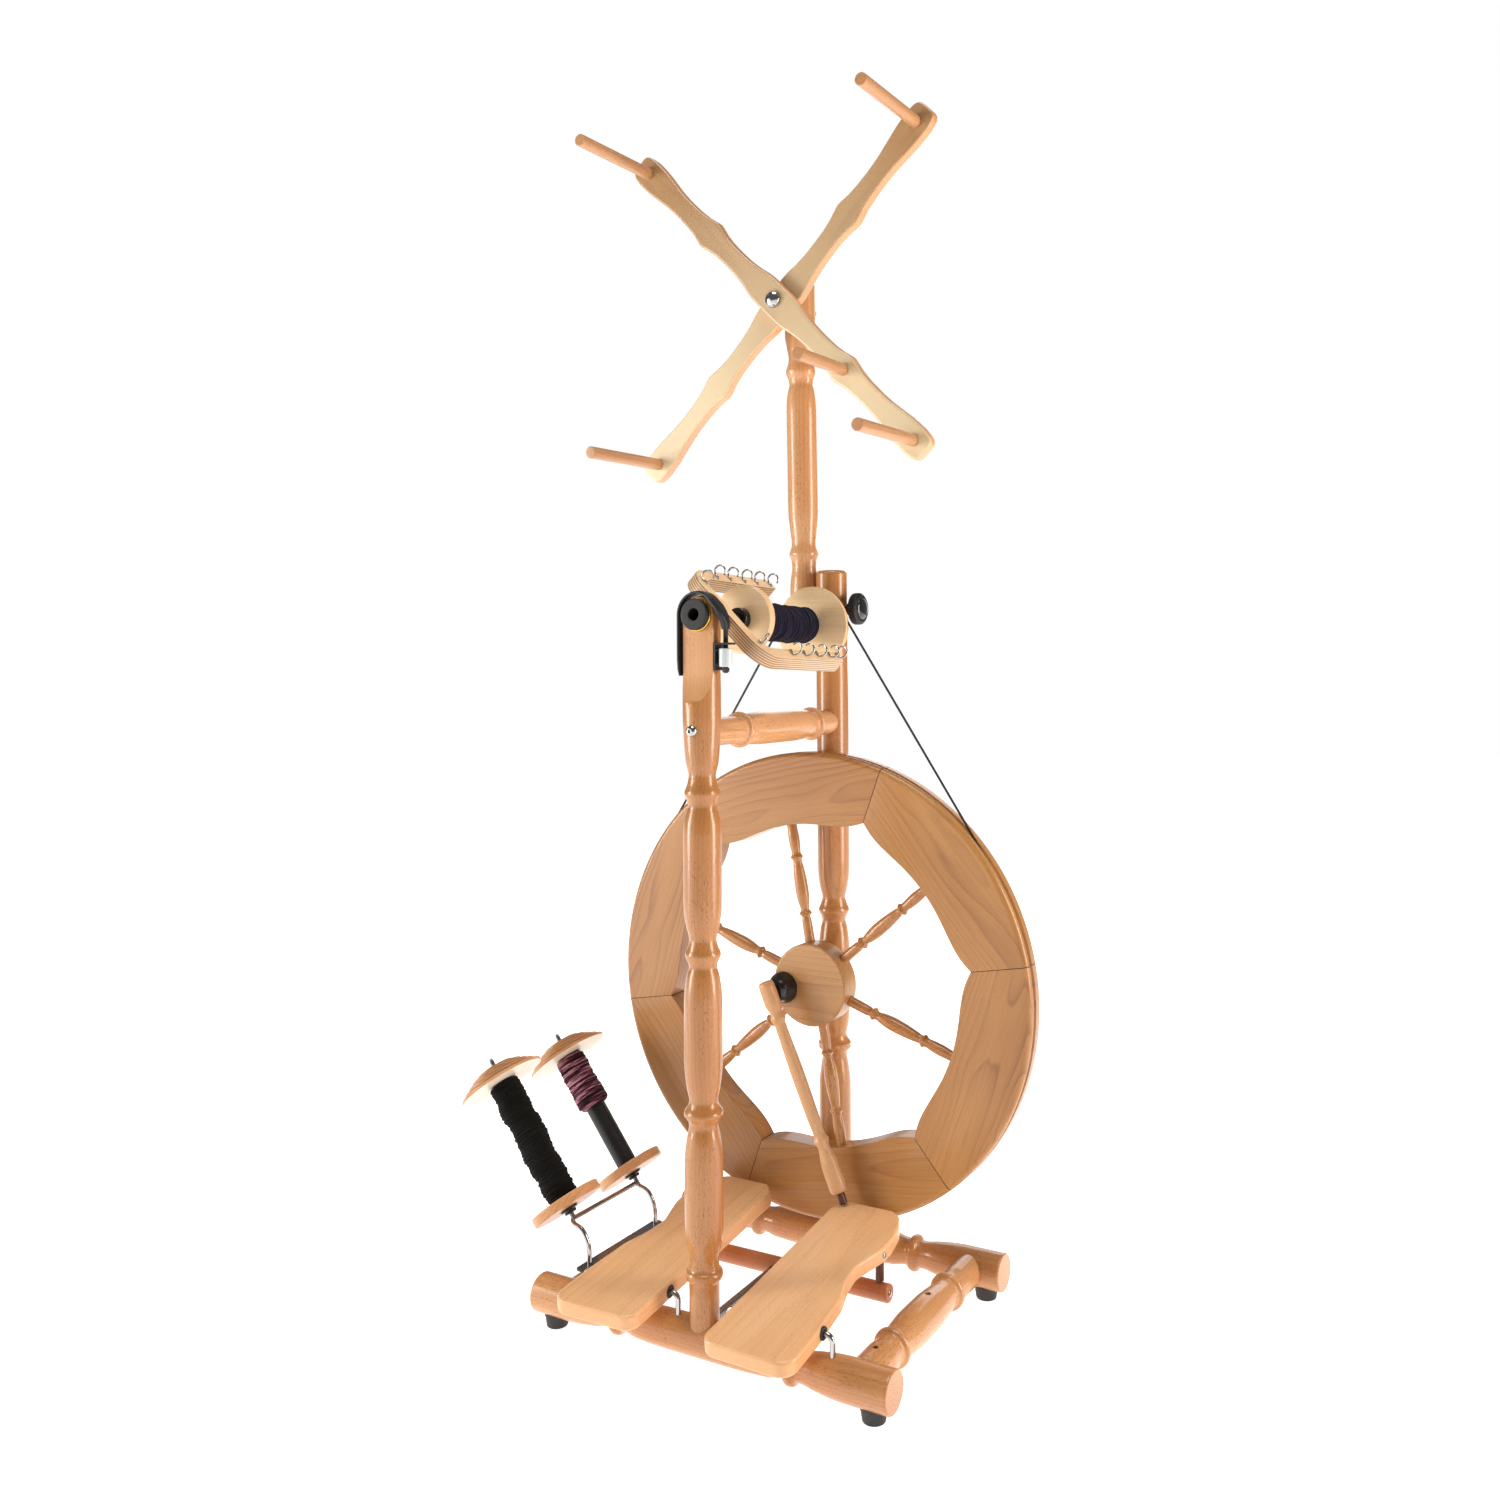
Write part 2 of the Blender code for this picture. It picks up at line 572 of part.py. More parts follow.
def rim_segment():
    bm = bmesh.new()
    ts = [-1, -0.82, -0.54, -0.2, 0.2, 0.54, 0.82, 1]
    y0, y1 = RIM_Y0, RIM_Y0 + RIM_T
    rings = []
    for t in ts:
        a = radians(30.0) * t
        ri = rim_inner(t)
        sec = [(ri, y0), (WHEEL_R - 4.5, y0), (WHEEL_R - 1.4, y0 + 1.4), (WHEEL_R, y0 + 4.5),
               (WHEEL_R, BELT_Y - 3.4), (GROOVE_R, BELT_Y - 1.4), (GROOVE_R, BELT_Y + 1.4),
               (WHEEL_R, BELT_Y + 3.4), (WHEEL_R, y1 - 2.0), (WHEEL_R - 2.0, y1), (ri, y1)]
        push = -0.18 if t == 1 else (0.18 if t == -1 else 0.0)
        ring = []
        for r, y in sec:
            x, z = r * sin(a), r * cos(a)
            ring.append(bm.verts.new((x + push * cos(a), y, z - push * sin(a))))
        rings.append(ring)
    m = len(rings[0])
    for A, B in zip(rings, rings[1:]):
        for k in range(m):
            l = (k + 1) % m
            bm.faces.new((A[k], A[l], B[l], B[k]))
    bm.faces.new(rings[0])
    bm.faces.new(rings[-1])
    return bm


spoke_len = RIM_INNER - HUB_R - 1.7
spoke_prof = [(t_r, t_s * spoke_len) for t_s, t_r in (
    (0.0, 5.6), (0.19, 5.4), (0.215, 4.7), (0.24, 7.0), (0.265, 4.9), (0.34, 6.6), (0.45, 7.2), (0.58, 6.4),
    (0.695, 4.9), (0.72, 7.0), (0.745, 5.1), (0.88, 6.0), (1.0, 5.2))]
for k in range(6):
    ang = RIM_PHASE + radians(30.0 + 60.0 * k)
    make("rim_segment_%d" % (k + 1), rim_segment(), RIMWOOD, WH, rot=(0, ang, 0), angle=28)
    make("spoke_%d" % (k + 1), turned(spoke_prof, 8, 'Z'), BEECH, WH,
         loc=(sin(ang) * (HUB_R + 0.45), SPOKE_Y, cos(ang) * (HUB_R + 0.45)), rot=(0, ang, 0))

make("hub", turned([(0, HUB_Y0 + 8.0), (AXLE_R + 0.5, HUB_Y0 + 8.0), (AXLE_R + 0.5, HUB_Y0 + HUB_T), (HUB_R - 1.5, HUB_Y0 + HUB_T),
                    (HUB_R, HUB_Y0 + HUB_T - 1.5), (HUB_R, HUB_Y0 + 2.5), (HUB_R - 2.5, HUB_Y0), (0, HUB_Y0)],
                   24, 'Y'), RIMWOOD, WH)
make("crank_knuckle", turned([(17.0, HUB_Y0 - 0.35), (16.8, 195.0), (15.2, 189.0), (12.0, 183.5), (7.0, 180.6),
                              (0, 180.2)], 16, 'Y'), BLACK, WH, loc=(CRANK_X, 0, CRANK_Z - WHEEL_Z))
make("axle", turned([(0, HUB_Y0 + 9.0), (AXLE_R, HUB_Y0 + 9.0), (AXLE_R, HUB_Y0 + HUB_T + 1.0), (9.5, HUB_Y0 + HUB_T + 1.0),
                     (9.5, 239.6), (AXLE_R, 239.6), (AXLE_R, REAR_Y + REAR_POST_R + 0.6), (10.5, REAR_Y + REAR_POST_R + 0.6),
                     (10.5, REAR_Y + REAR_POST_R + 6.0), (7.0, REAR_Y + REAR_POST_R + 9.0),
                     (0, REAR_Y + REAR_POST_R + 9.4)], 12, 'Y'), STEEL, ROOT, (0, 0, WHEEL_Z))

# drive band: open belt over the wheel's groove and the bobbin's whorl
RW, RB = GROOVE_R + 0.4 + BELT_R, WHORL_GROOVE_R + 0.6 + BELT_R
D = FLYER_Z - WHEEL_Z
lean = atan2(RW - RB, sqrt(D * D - (RW - RB) ** 2))
band = []
nw, nb = 34, 6
a0 = pi / 2 - lean
step = (2 * pi - 2 * a0) / nw
for i in range(nw + 1):
    a = a0 + step * i
    band.append((RW / cos(step / 2) * sin(a), BELT_Y, WHEEL_Z + RW / cos(step / 2) * cos(a)))
stepb = 2 * a0 / nb
for i in range(nb + 1):
    a = -a0 + stepb * i
    band.append((RB / cos(stepb / 2) * sin(a), BELT_Y, FLYER_Z + RB / cos(stepb / 2) * cos(a)))
make("drive_band", tube(band, BELT_R, 4, loop=True), BLACK, ROOT)

# ----------------------------------------------------------------------------
# Treadles, their hooks, the rocker and its links
# ----------------------------------------------------------------------------


def treadle_outline(s):
    """Right treadle's outline for s = 1, left for s = -1; Y runs to the rear,
    measured along the board from the hinge line."""
    pts = [(37.0, -61.0), (131.0, -63.5), (129.5, -8.0), (124.5, 44.0), (116.0, 72.0), (113.0, 95.0),
           (119.0, 115.0), (124.0, 133.0), (124.5, 148.0), (121.0, 172.0), (112.0, 194.0), (101.0, 201.5),
           (50.0, 201.5), (TREADLE_IN, 185.0)]
    rad = [14, 16, 60, 60, 40, 30, 40, 40, 30, 40, 12, 8, 6, 10]
    out = rounded(pts, rad, 2)
    return [(s * x, y) for x, y in out]


TR = {}
for side, s in (("right", 1), ("left", -1)):
    TR[side] = empty("treadle_axis_" + side, (0, HINGE_Y, HINGE_Z), parent=ROOT)
    bm = prism(treadle_outline(s), -TREADLE_T / 2, TREADLE_T / 2)
    edges = [e for e in bm.edges if abs(e.verts[0].co.z - e.verts[1].co.z) < 1e-6]
    bmesh.ops.recalc_face_normals(bm, faces=bm.faces[:])
    bmesh.ops.bevel(bm, geom=edges, offset=2.6, segments=1, affect='EDGES', profile=0.5)
    make("treadle_" + side, bm, TREAD, TR[side], rot=(TREADLE_SLOPE, 0, 0))

for nm, x, s in (("hook_right_outer", 1, 1), ("hook_right_inner", 1, -1), ("hook_left_inner", -1, 1),
                 ("hook_left_outer", -1, -1)):
    # s is the side of its treadle that the hook stands on
    if x > 0:
        edge = 129.8 if s > 0 else 37.0
    else:
        edge = -37.0 if s > 0 else -129.8
    leg = edge + s * 9.0
    rail_r = 18.6 if abs(leg) > 100 else 19.2
    foot = RAIL_Z + sqrt(rail_r ** 2 - (abs(HINGE_Y) + 2.6) ** 2) + 1.1
    pts = [(leg, HINGE_Y, foot), (leg, HINGE_Y, HINGE_Z - 6.0)]
    for a in (30, 60, 90):
        pts.append((leg - s * 6.0 * (1 - cos(radians(a))), HINGE_Y, HINGE_Z - 6.0 + 6.0 * sin(radians(a))))
    pts.append((edge + s * 0.7, HINGE_Y, HINGE_Z))
    make(nm, tube(pts, HOOK_R, 8), CHROME, ROOT)

# rocker: steel arm from the front rail, wooden see-saw bar on its pin
arm = make("rocker_arm", prism([(RAIL_R + 0.2, 35.5), (RAIL_R + 0.2, 44.5), (ROCK_Y - ROCK_R - 0.8, ROCK_Z + 4.5),
                                (ROCK_Y - ROCK_R - 0.8, ROCK_Z - 4.5)], -4, 4, 'YZ'), STEEL, ROOT)
boolean(arm, cutter("pin_rocker", turned([(3.0, ROCK_Y - ROCK_R - 6.0), (3.0, ROCK_Y + ROCK_R - 2.0)], 10, 'Y'), ROOT,
                    (0, 0, ROCK_Z)), 'UNION')
RK = empty("rocker_axis", (0, ROCK_Y, ROCK_Z), parent=ROOT)
bar = make("rocker_bar", turned([(7.6, -ROCK_HALF), (ROCK_R, -ROCK_HALF + 1.6), (ROCK_R, ROCK_HALF - 1.6),
                                 (7.6, ROCK_HALF)], 12, 'X'), BEECH, RK)
boolean(bar, cutter("cut_rocker", turned([(3.5, -30), (3.5, 30)], 12, 'Y'), RK))
LINKS = {}
for side, s in (("right", 1), ("left", -1)):
    zt = HINGE_Z + tan(TREADLE_SLOPE) * (ROCK_Y - HINGE_Y) - TREADLE_T / 2 / cos(TREADLE_SLOPE)
    LINKS[side] = empty("rocker_link_axis_" + side, (s * LINK_X, ROCK_Y - HINGE_Y, zt - HINGE_Z), parent=TR[side])
    make("rocker_link_" + side, turned([(4.2, -1.6), (4.2, -(zt - ROCK_Z - ROCK_R - 2.0))], 10, 'Z'), CORD, LINKS[side])

# footman: flexible link on the right treadle, then the turned stick
ax = (FOOT_PIN - FOOT_LOW)
ax.normalize()
tilt_x = -atan2(ax.y, hypot(ax.x, ax.z))
tilt_y = atan2(ax.x, ax.z)
FL = empty("footman_link_axis", (FOOT_LOW.x, FOOT_LOW.y - HINGE_Y, FOOT_LOW.z - HINGE_Z), parent=TR["right"])
FM = empty("footman_axis", (0, 0, 0), parent=FL)
direction = ax.to_track_quat('Z', 'Y').to_euler()
make("footman_link", turned([(4.5, 2.0), (4.5, 12.6)], 8, 'Z'), CORD, FL, rot=direction)
total = (FOOT_PIN - FOOT_LOW).length + 13.0
prof = [(7.8, 0.0), (8.8, 1.5), (8.8, 26.0), (6.5, 33.0), (8.2, 41.5), (6.2, 43.6), (6.3, 60.0), (7.2, 100.0),
        (6.7, 150.0), (6.1, 167.5), (8.3, 172.0), (6.1, 179.0), (7.6, 188.0), (9.3, 197.0), (9.4, 225.0), (8.4, 227.6)]
prof = [(r, total - h) for r, h in reversed(prof)]
make("footman", turned(prof, 12, 'Z'), PALE, FM, rot=direction)

# ----------------------------------------------------------------------------
# Skein winder
# ----------------------------------------------------------------------------
SK = empty("winder_post_axis", (SK_X, REAR_Y, SK_CLAMP_Z), (SK_LEAN, 0, 0), parent=ROOT)
sk = [(14.6, -27.0), (16.2, -25.4), (16.2, 14.0), (16.2, 30.0), (13.6, 50.0), (14.6, 60.0), (16.6, 64.5), (14.8, 69.0),
      (13.6, 76.0), (15.2, 92.0), (17.0, 112.0), (17.0, 238.0), (15.6, 249.0), (13.3, 257.0), (14.0, 263.0),
      (16.8, 270.0), (16.4, 276.0), (13.6, 285.0), (15.6, 300.0), (17.4, 310.0), (17.4, 368.0), (16.2, 371.0)]
winder_post = make("winder_post", turned(sk, 12, 'Z'), BEECH, SK)
boolean(winder_post, cutter("cut_winder_bolt", turned([(4.7, -40), (4.7, 40)], 12, 'Y'), SK, (0, 0, SK_PIVOT)))

PV = empty("winder_axis", (0, 0, SK_PIVOT), parent=SK)


def arm_half(s):
    """Half width of a winder arm at distance s from its pivot."""
    s = abs(s)
    k = [(0, 17.2), (26, 16.8), (44, 13.6), (60, 11.6), (86, 11.4), (106, 13.6), (119, 16.4), (124, 15.8),
         (138, 12.8), (156, 11.4), (182, 11.6), (204, 14.0), (224, 16.2), (240, 16.4), (250, 14.2), (SK_HALF, 9.5)]
    for (a, wa), (b, wb) in zip(k, k[1:]):
        if a <= s <= b:
            return wa + (wb - wa) * (s - a) / (b - a)
    return 9.5


def winder_arm(y_front):
    st = [0, 26, 44, 60, 86, 106, 119, 124, 138, 156, 182, 204, 224, 240, 250, SK_HALF]
    xs = [-s for s in reversed(st[1:])] + st
    out = [(x, arm_half(x)) for x in xs] + [(x, -arm_half(x)) for x in reversed(xs)]
    return prism(out, y_front, y_front + SK_ARM_T, 'XZ')


def peg(x, y_front, length):
    bm = turned([(6.6, y_front + SK_ARM_T * 0.6), (6.6, y_front - length + 1.2), (5.6, y_front - length)], 10, 'Y')
    bmesh.ops.translate(bm, vec=(x, 0, 0), verts=bm.verts[:])
    return bm


yf = SK_ARM_FRONT
yr = SK_ARM_FRONT + SK_ARM_T + SK_ARM_GAP
for nm, y, roll, pegs in (("winder_arm_front", yf, radians(45.6), [(-SK_PEG_R, SK_PEG_L), (SK_PEG_R, SK_PEG_L),
                                                                   (SK_PEG_MID, SK_PEG_MID_L)]),
                          ("winder_arm_rear", yr, radians(-44.6), [(-SK_PEG_R, SK_PEG_L), (SK_PEG_R, SK_PEG_L)])):
    o = make(nm, winder_arm(y), PALE, PV, rot=(0, roll, 0))
    for i, (x, ln) in enumerate(pegs):
        boolean(o, cutter("peg_%s_%d" % (nm[11:], i), peg(x, y, ln), PV, rot=(0, roll, 0)), 'UNION')
    boolean(o, cutter("cut_" + nm, turned([(4.7, y - 20), (4.7, y + 40)], 12, 'Y'), PV))
make("winder_bolt", turned([(0, yf - 7.6), (4.6, yf - 6.8), (7.8, yf - 4.4), (9.4, yf - 0.5), (4.0, yf - 0.5),
                            (4.0, yr + SK_ARM_T + 0.5), (13.0, yr + SK_ARM_T + 0.5), (13.0, -18.0), (4.0, -17.8),
                            (4.0, 18.0), (8.0, 18.0), (8.0, 23.0), (0, 23.4)], 14, 'Y'), CHROME, PV)

KC = empty("clamp_axis", (0, REAR_Y, SK_CLAMP_Z + 0.8), parent=ROOT)
make("clamp_knob", turned([(0, -17.0), (3.0, -17.0), (3.0, 21.5), (7.0, 21.5), (8.0, 28.6), (15.4, 28.6), (17.6, 30.6), (17.6, 36.0),
                           (15.6, 38.2), (0, 38.6)], 18, 'X'), BLACK, KC)

# ----------------------------------------------------------------------------
# Lazy kate: bent wire frame in the left stretcher, two spare bobbins
# ----------------------------------------------------------------------------
kx, (ky0, ky1) = KATE_X, KATE_Y
base_z = RAIL_Z + 18.8
bx, bz = KATE_BAR
wire = [(kx, ky0, base_z), (kx, ky0, base_z + 14), (kx - 3.0, ky0, base_z + 26), (kx - 10.5, ky0, base_z + 36),
        (bx, ky0 + 0.5, bz - 1.0), (bx - 1.2, ky0 + 5.0, bz), (bx - 1.2, ky1 - 5.0, bz), (bx, ky1 - 0.5, bz - 1.0),
        (kx - 10.5, ky1, base_z + 36), (kx - 3.0, ky1, base_z + 26), (kx, ky1, base_z + 14), (kx, ky1, base_z)]
kate = make("kate_frame", tube(wire, 2.6, 8), CHROME, ROOT)
KB = []
for i, y in enumerate(KATE_SPIN_Y):
    e = empty("kate_axis_%d" % (i + 1), (KATE_AXIS[0], y, KATE_AXIS[1]), (0, -KATE_TILT, 0), parent=ROOT)
    KB.append(e)
    boolean(kate, cutter("spindle_%d" % (i + 1), turned([(2.4, -3.6), (2.4, 182.4), (1.4, 184.4)], 8, 'Z'), e), 'UNION')
plate = box(kx - 6.0, kx + 6.0, ky0 - 17.0, ky1 + 8.0, base_z + 1.2, base_z + 3.0)
boolean(kate, cutter("plate_kate", plate, ROOT), 'UNION')

kb = [(3.0, 7.0), (9.0, 7.0), (9.0, 9.0), (KATE_FLANGE_R - 2.0, 9.0), (KATE_FLANGE_R, 11.0), (KATE_FLANGE_R, 17.5),
      (KATE_FLANGE_R - 1.5, 19.0), (11.0, 19.0), (11.0, 155.5), (KATE_WHORL_R - 1.0, 155.5), (KATE_WHORL_R, 156.5),
      (KATE_WHORL_R, 158.6), (40.4, 159.6), (40.4, 162.2), (34.6, 163.2), (34.6, 165.8), (28.6, 166.8), (28.6, 169.4),
      (21.0, 170.4), (20.0, 173.0), (3.0, 173.0)]
for i, nm in enumerate(("kate_bobbin_front", "kate_bobbin_rear")):
    make(nm, turned(kb, 14, 'Z', closed=True), PALE, KB[i])
full = [(11.5, 19.4), (15.6, 19.4)] + [(17.4 - 1.4 * (k % 2), 26 + 112.0 * k / 10.0) for k in range(11)] \
    + [(18.6, 148.0), (18.0, 155.1), (11.5, 155.1)]
half = [(11.5, 92.0), (15.0, 92.0)] + [(17.4 - 1.0 * (k % 2), 98 + 50.0 * k / 6.0) for k in range(7)] \
    + [(17.4, 155.1), (11.5, 155.1)]
make("kate_yarn_front", turned(full, 14, 'Z', closed=True), NAVY, KB[0])
make("kate_yarn_rear", turned(half, 14, 'Z', closed=True), PLUM, KB[1])
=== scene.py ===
"""Finished look of the castle spinning wheel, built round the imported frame."""
import bpy
import bmesh
import random
from math import sin, cos, tan, pi, radians, sqrt, atan2, hypot
from mathutils import Vector, Matrix, Euler, noise


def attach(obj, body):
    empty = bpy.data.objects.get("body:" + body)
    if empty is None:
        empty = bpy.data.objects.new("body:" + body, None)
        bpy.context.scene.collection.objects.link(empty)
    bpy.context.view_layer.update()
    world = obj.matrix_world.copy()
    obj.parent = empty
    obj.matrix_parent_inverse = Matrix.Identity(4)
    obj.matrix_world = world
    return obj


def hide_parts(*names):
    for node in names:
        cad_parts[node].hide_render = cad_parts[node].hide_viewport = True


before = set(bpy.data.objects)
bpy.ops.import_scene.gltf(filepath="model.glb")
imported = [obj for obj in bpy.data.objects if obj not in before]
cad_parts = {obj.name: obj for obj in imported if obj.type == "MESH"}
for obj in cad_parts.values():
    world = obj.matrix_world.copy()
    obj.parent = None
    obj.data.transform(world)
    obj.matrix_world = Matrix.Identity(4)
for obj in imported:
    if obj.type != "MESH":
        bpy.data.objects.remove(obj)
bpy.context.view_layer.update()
COL = bpy.context.scene.collection
MM = 0.001
random.seed(7)

# ---------------------------------------------------------------- dimensions (mm)
OX, OY = 35.9, -109.15
RAIL_HALF, RAIL_Z, RAIL_R, REAR_Y = 198.5, 29.0, 19.0, 257.5
STRETCH_X, FOOT_X, FOOT_R, FOOT_TOP = 163.0, 178.0, 12.8, 15.0
POST_R, REAR_POST_R, REAR_POST_TOP = 18.2, 17.6, 765.0
TOP_RAIL_Z, TOP_RAIL_R = 595.8, 16.5
FLYER_Z, FLYER_DROP, ORIFICE_Y, ORIFICE_R, SHAFT_R, FLAT_Y = 708.0, radians(1.7), -13.0, 15.1, 5.0, -6.4
FLYER_TILT, FLYER_T, FLYER_FRONT, FLYER_BACK, FLYER_OUT, FLYER_IN = radians(43.5), 15.4, 34.0, 189.5, 65.2, 50.8
EYE_LEFT, EYE_RIGHT = [77.0, 101.5, 128.5, 153.5, 180.5], [89.6, 114.5, 140.7, 166.4, 184.5]
BOB_FLANGE_Y, BOB_FLANGE_R, BOB_FLANGE_T = 70.0, 34.5, 9.0
WHORL_Y, WHORL_R, WHORL_GROOVE_R, YARN_R = 210.5, 43.8, 32.0, 19.5
WHEEL_Z, WHEEL_R, RIM_Y0, RIM_T, RIM_INNER, RIM_CORNER = 314.7, 250.0, 205.7, 27.0, 172.2, 188.2
RIM_PHASE, GROOVE_R, BELT_Y, BELT_R = radians(20.0), 245.2, 217.0, 1.25
HUB_R, HUB_Y0, HUB_T, SPOKE_Y = 44.0, 200.2, 26.8, 217.0
CRANK_X, CRANK_Z = -31.4, 309.5
HINGE_Y, HINGE_Z, TREADLE_T, TREADLE_SLOPE, TREADLE_IN = -3.0, 65.1, 15.0, atan2(0.12, 1.0), 37.0
ROCK_Y, ROCK_Z, ROCK_R, ROCK_HALF, LINK_X = 135.0, 42.5, 9.0, 127.0, 116.0
FOOT_PIN, FOOT_LOW = Vector((CRANK_X, 170.0, CRANK_Z)), Vector((49.0, 186.0, 96.0))
SK_X, SK_LEAN, SK_CLAMP_Z, SK_PIVOT = -34.6, radians(1.2), 720.5, 341.7
SK_ARM_T, SK_ARM_FRONT, SK_ARM_GAP, SK_PEG_R, SK_PEG_MID = 13.0, -58.5, 1.0, 237.0, 121.5
SK_PEG_L, SK_PEG_MID_L, SK_HALF = 124.0, 96.0, 256.0
KATE_X, KATE_Y, KATE_TILT, KATE_BAR = -164.0, (33.0, 145.0), radians(38.1), (-187.0, 90.0)
KATE_SPIN_Y, KATE_AXIS = (35.5, 142.5), (-187.6, 93.0)
KATE_WHORL_R, KATE_FLANGE_R = 45.4, 37.5

DROP_Z = FLYER_Z + ORIFICE_Y * tan(FLYER_DROP)
ROOT = Matrix.Translation((OX, OY, 0))


def place(loc=(0, 0, 0), rot=(0, 0, 0), parent=None):
    m = Matrix.Translation(Vector(loc)) @ Euler(rot).to_matrix().to_4x4()
    return (parent if parent is not None else ROOT) @ m


# ---------------------------------------------------------------- node helpers
def lin(r, g, b):
    """sRGB 0-255 to linear."""
    def f(c):
        c /= 255.0
        return c / 12.92 if c <= 0.04045 else ((c + 0.055) / 1.055) ** 2.4
    return (f(r), f(g), f(b), 1.0)


class Nodes:
    def __init__(self, name):
        self.m = bpy.data.materials.new(name)
        self.m.use_nodes = True
        self.t = self.m.node_tree
        self.b = self.t.nodes.get("Principled BSDF")
        self.tc = self.t.nodes.new("ShaderNodeTexCoord")

    def new(self, kind, **inputs):
        n = self.t.nodes.new(kind)
        for k, v in inputs.items():
            self.put(n, k, v)
        return n

    def put(self, n, key, v):
        s = n.inputs[int(key[1:])] if key[0] == "i" and key[1:].isdigit() else n.inputs[key.replace("_", " ")]
        if isinstance(v, bpy.types.NodeSocket):
            self.t.links.new(v, s)
        else:
            s.default_value = v

    def mapping(self, scale=(1, 1, 1), loc=(0, 0, 0), rot=(0, 0, 0), vec=None):
        n = self.t.nodes.new("ShaderNodeMapping")
        self.t.links.new(vec or self.tc.outputs["Object"], n.inputs["Vector"])
        n.inputs["Scale"].default_value = scale
        n.inputs["Location"].default_value = loc
        n.inputs["Rotation"].default_value = rot
        return n.outputs["Vector"]

    def noise(self, vec, scale=1.0, detail=3.0, rough=0.5, dist=0.0):
        n = self.t.nodes.new("ShaderNodeTexNoise")
        self.t.links.new(vec, n.inputs["Vector"])
        n.inputs["Scale"].default_value = scale
        n.inputs["Detail"].default_value = detail
        n.inputs["Roughness"].default_value = rough
        n.inputs["Distortion"].default_value = dist
        return n.outputs["Fac"]

    def ramp(self, fac, stops, interp='LINEAR'):
        n = self.t.nodes.new("ShaderNodeValToRGB")
        self.t.links.new(fac, n.inputs["Fac"])
        e = n.color_ramp.elements
        n.color_ramp.interpolation = interp
        full = [(p, c if not isinstance(c, (int, float)) else (c, c, c, 1)) for p, c in stops]
        e[0].position, e[0].color = full[0]
        e[1].position, e[1].color = full[-1]
        for p, c in full[1:-1]:
            e.new(p).color = c
        return n.outputs["Color"]

    def mix(self, fac, a, b, mode='MIX'):
        n = self.t.nodes.new("ShaderNodeMix")
        n.data_type = 'RGBA'
        n.blend_type = mode
        for key, v in ((0, fac), (6, a), (7, b)):
            if isinstance(v, bpy.types.NodeSocket):
                self.t.links.new(v, n.inputs[key])
            else:
                n.inputs[key].default_value = v
        return n.outputs[2]

    def math(self, op, a, b=0.0, c=0.0):
        n = self.t.nodes.new("ShaderNodeMath")
        n.operation = op
        for i, v in enumerate((a, b, c)):
            if isinstance(v, bpy.types.NodeSocket):
                self.t.links.new(v, n.inputs[i])
            else:
                n.inputs[i].default_value = v
        return n.outputs[0]

    def bump(self, height, strength=0.2, dist=0.0003):
        n = self.t.nodes.new("ShaderNodeBump")
        self.t.links.new(height, n.inputs["Height"])
        n.inputs["Strength"].default_value = strength
        n.inputs["Distance"].default_value = dist
        self.t.links.new(n.outputs["Normal"], self.b.inputs["Normal"])

    def set(self, **kw):
        for k, v in kw.items():
            self.put(self.b, k, v)
        return self.m


AXROT = {'Z': (0, 0, 0), 'X': (0, pi / 2, 0), 'Y': (-pi / 2, 0, 0)}


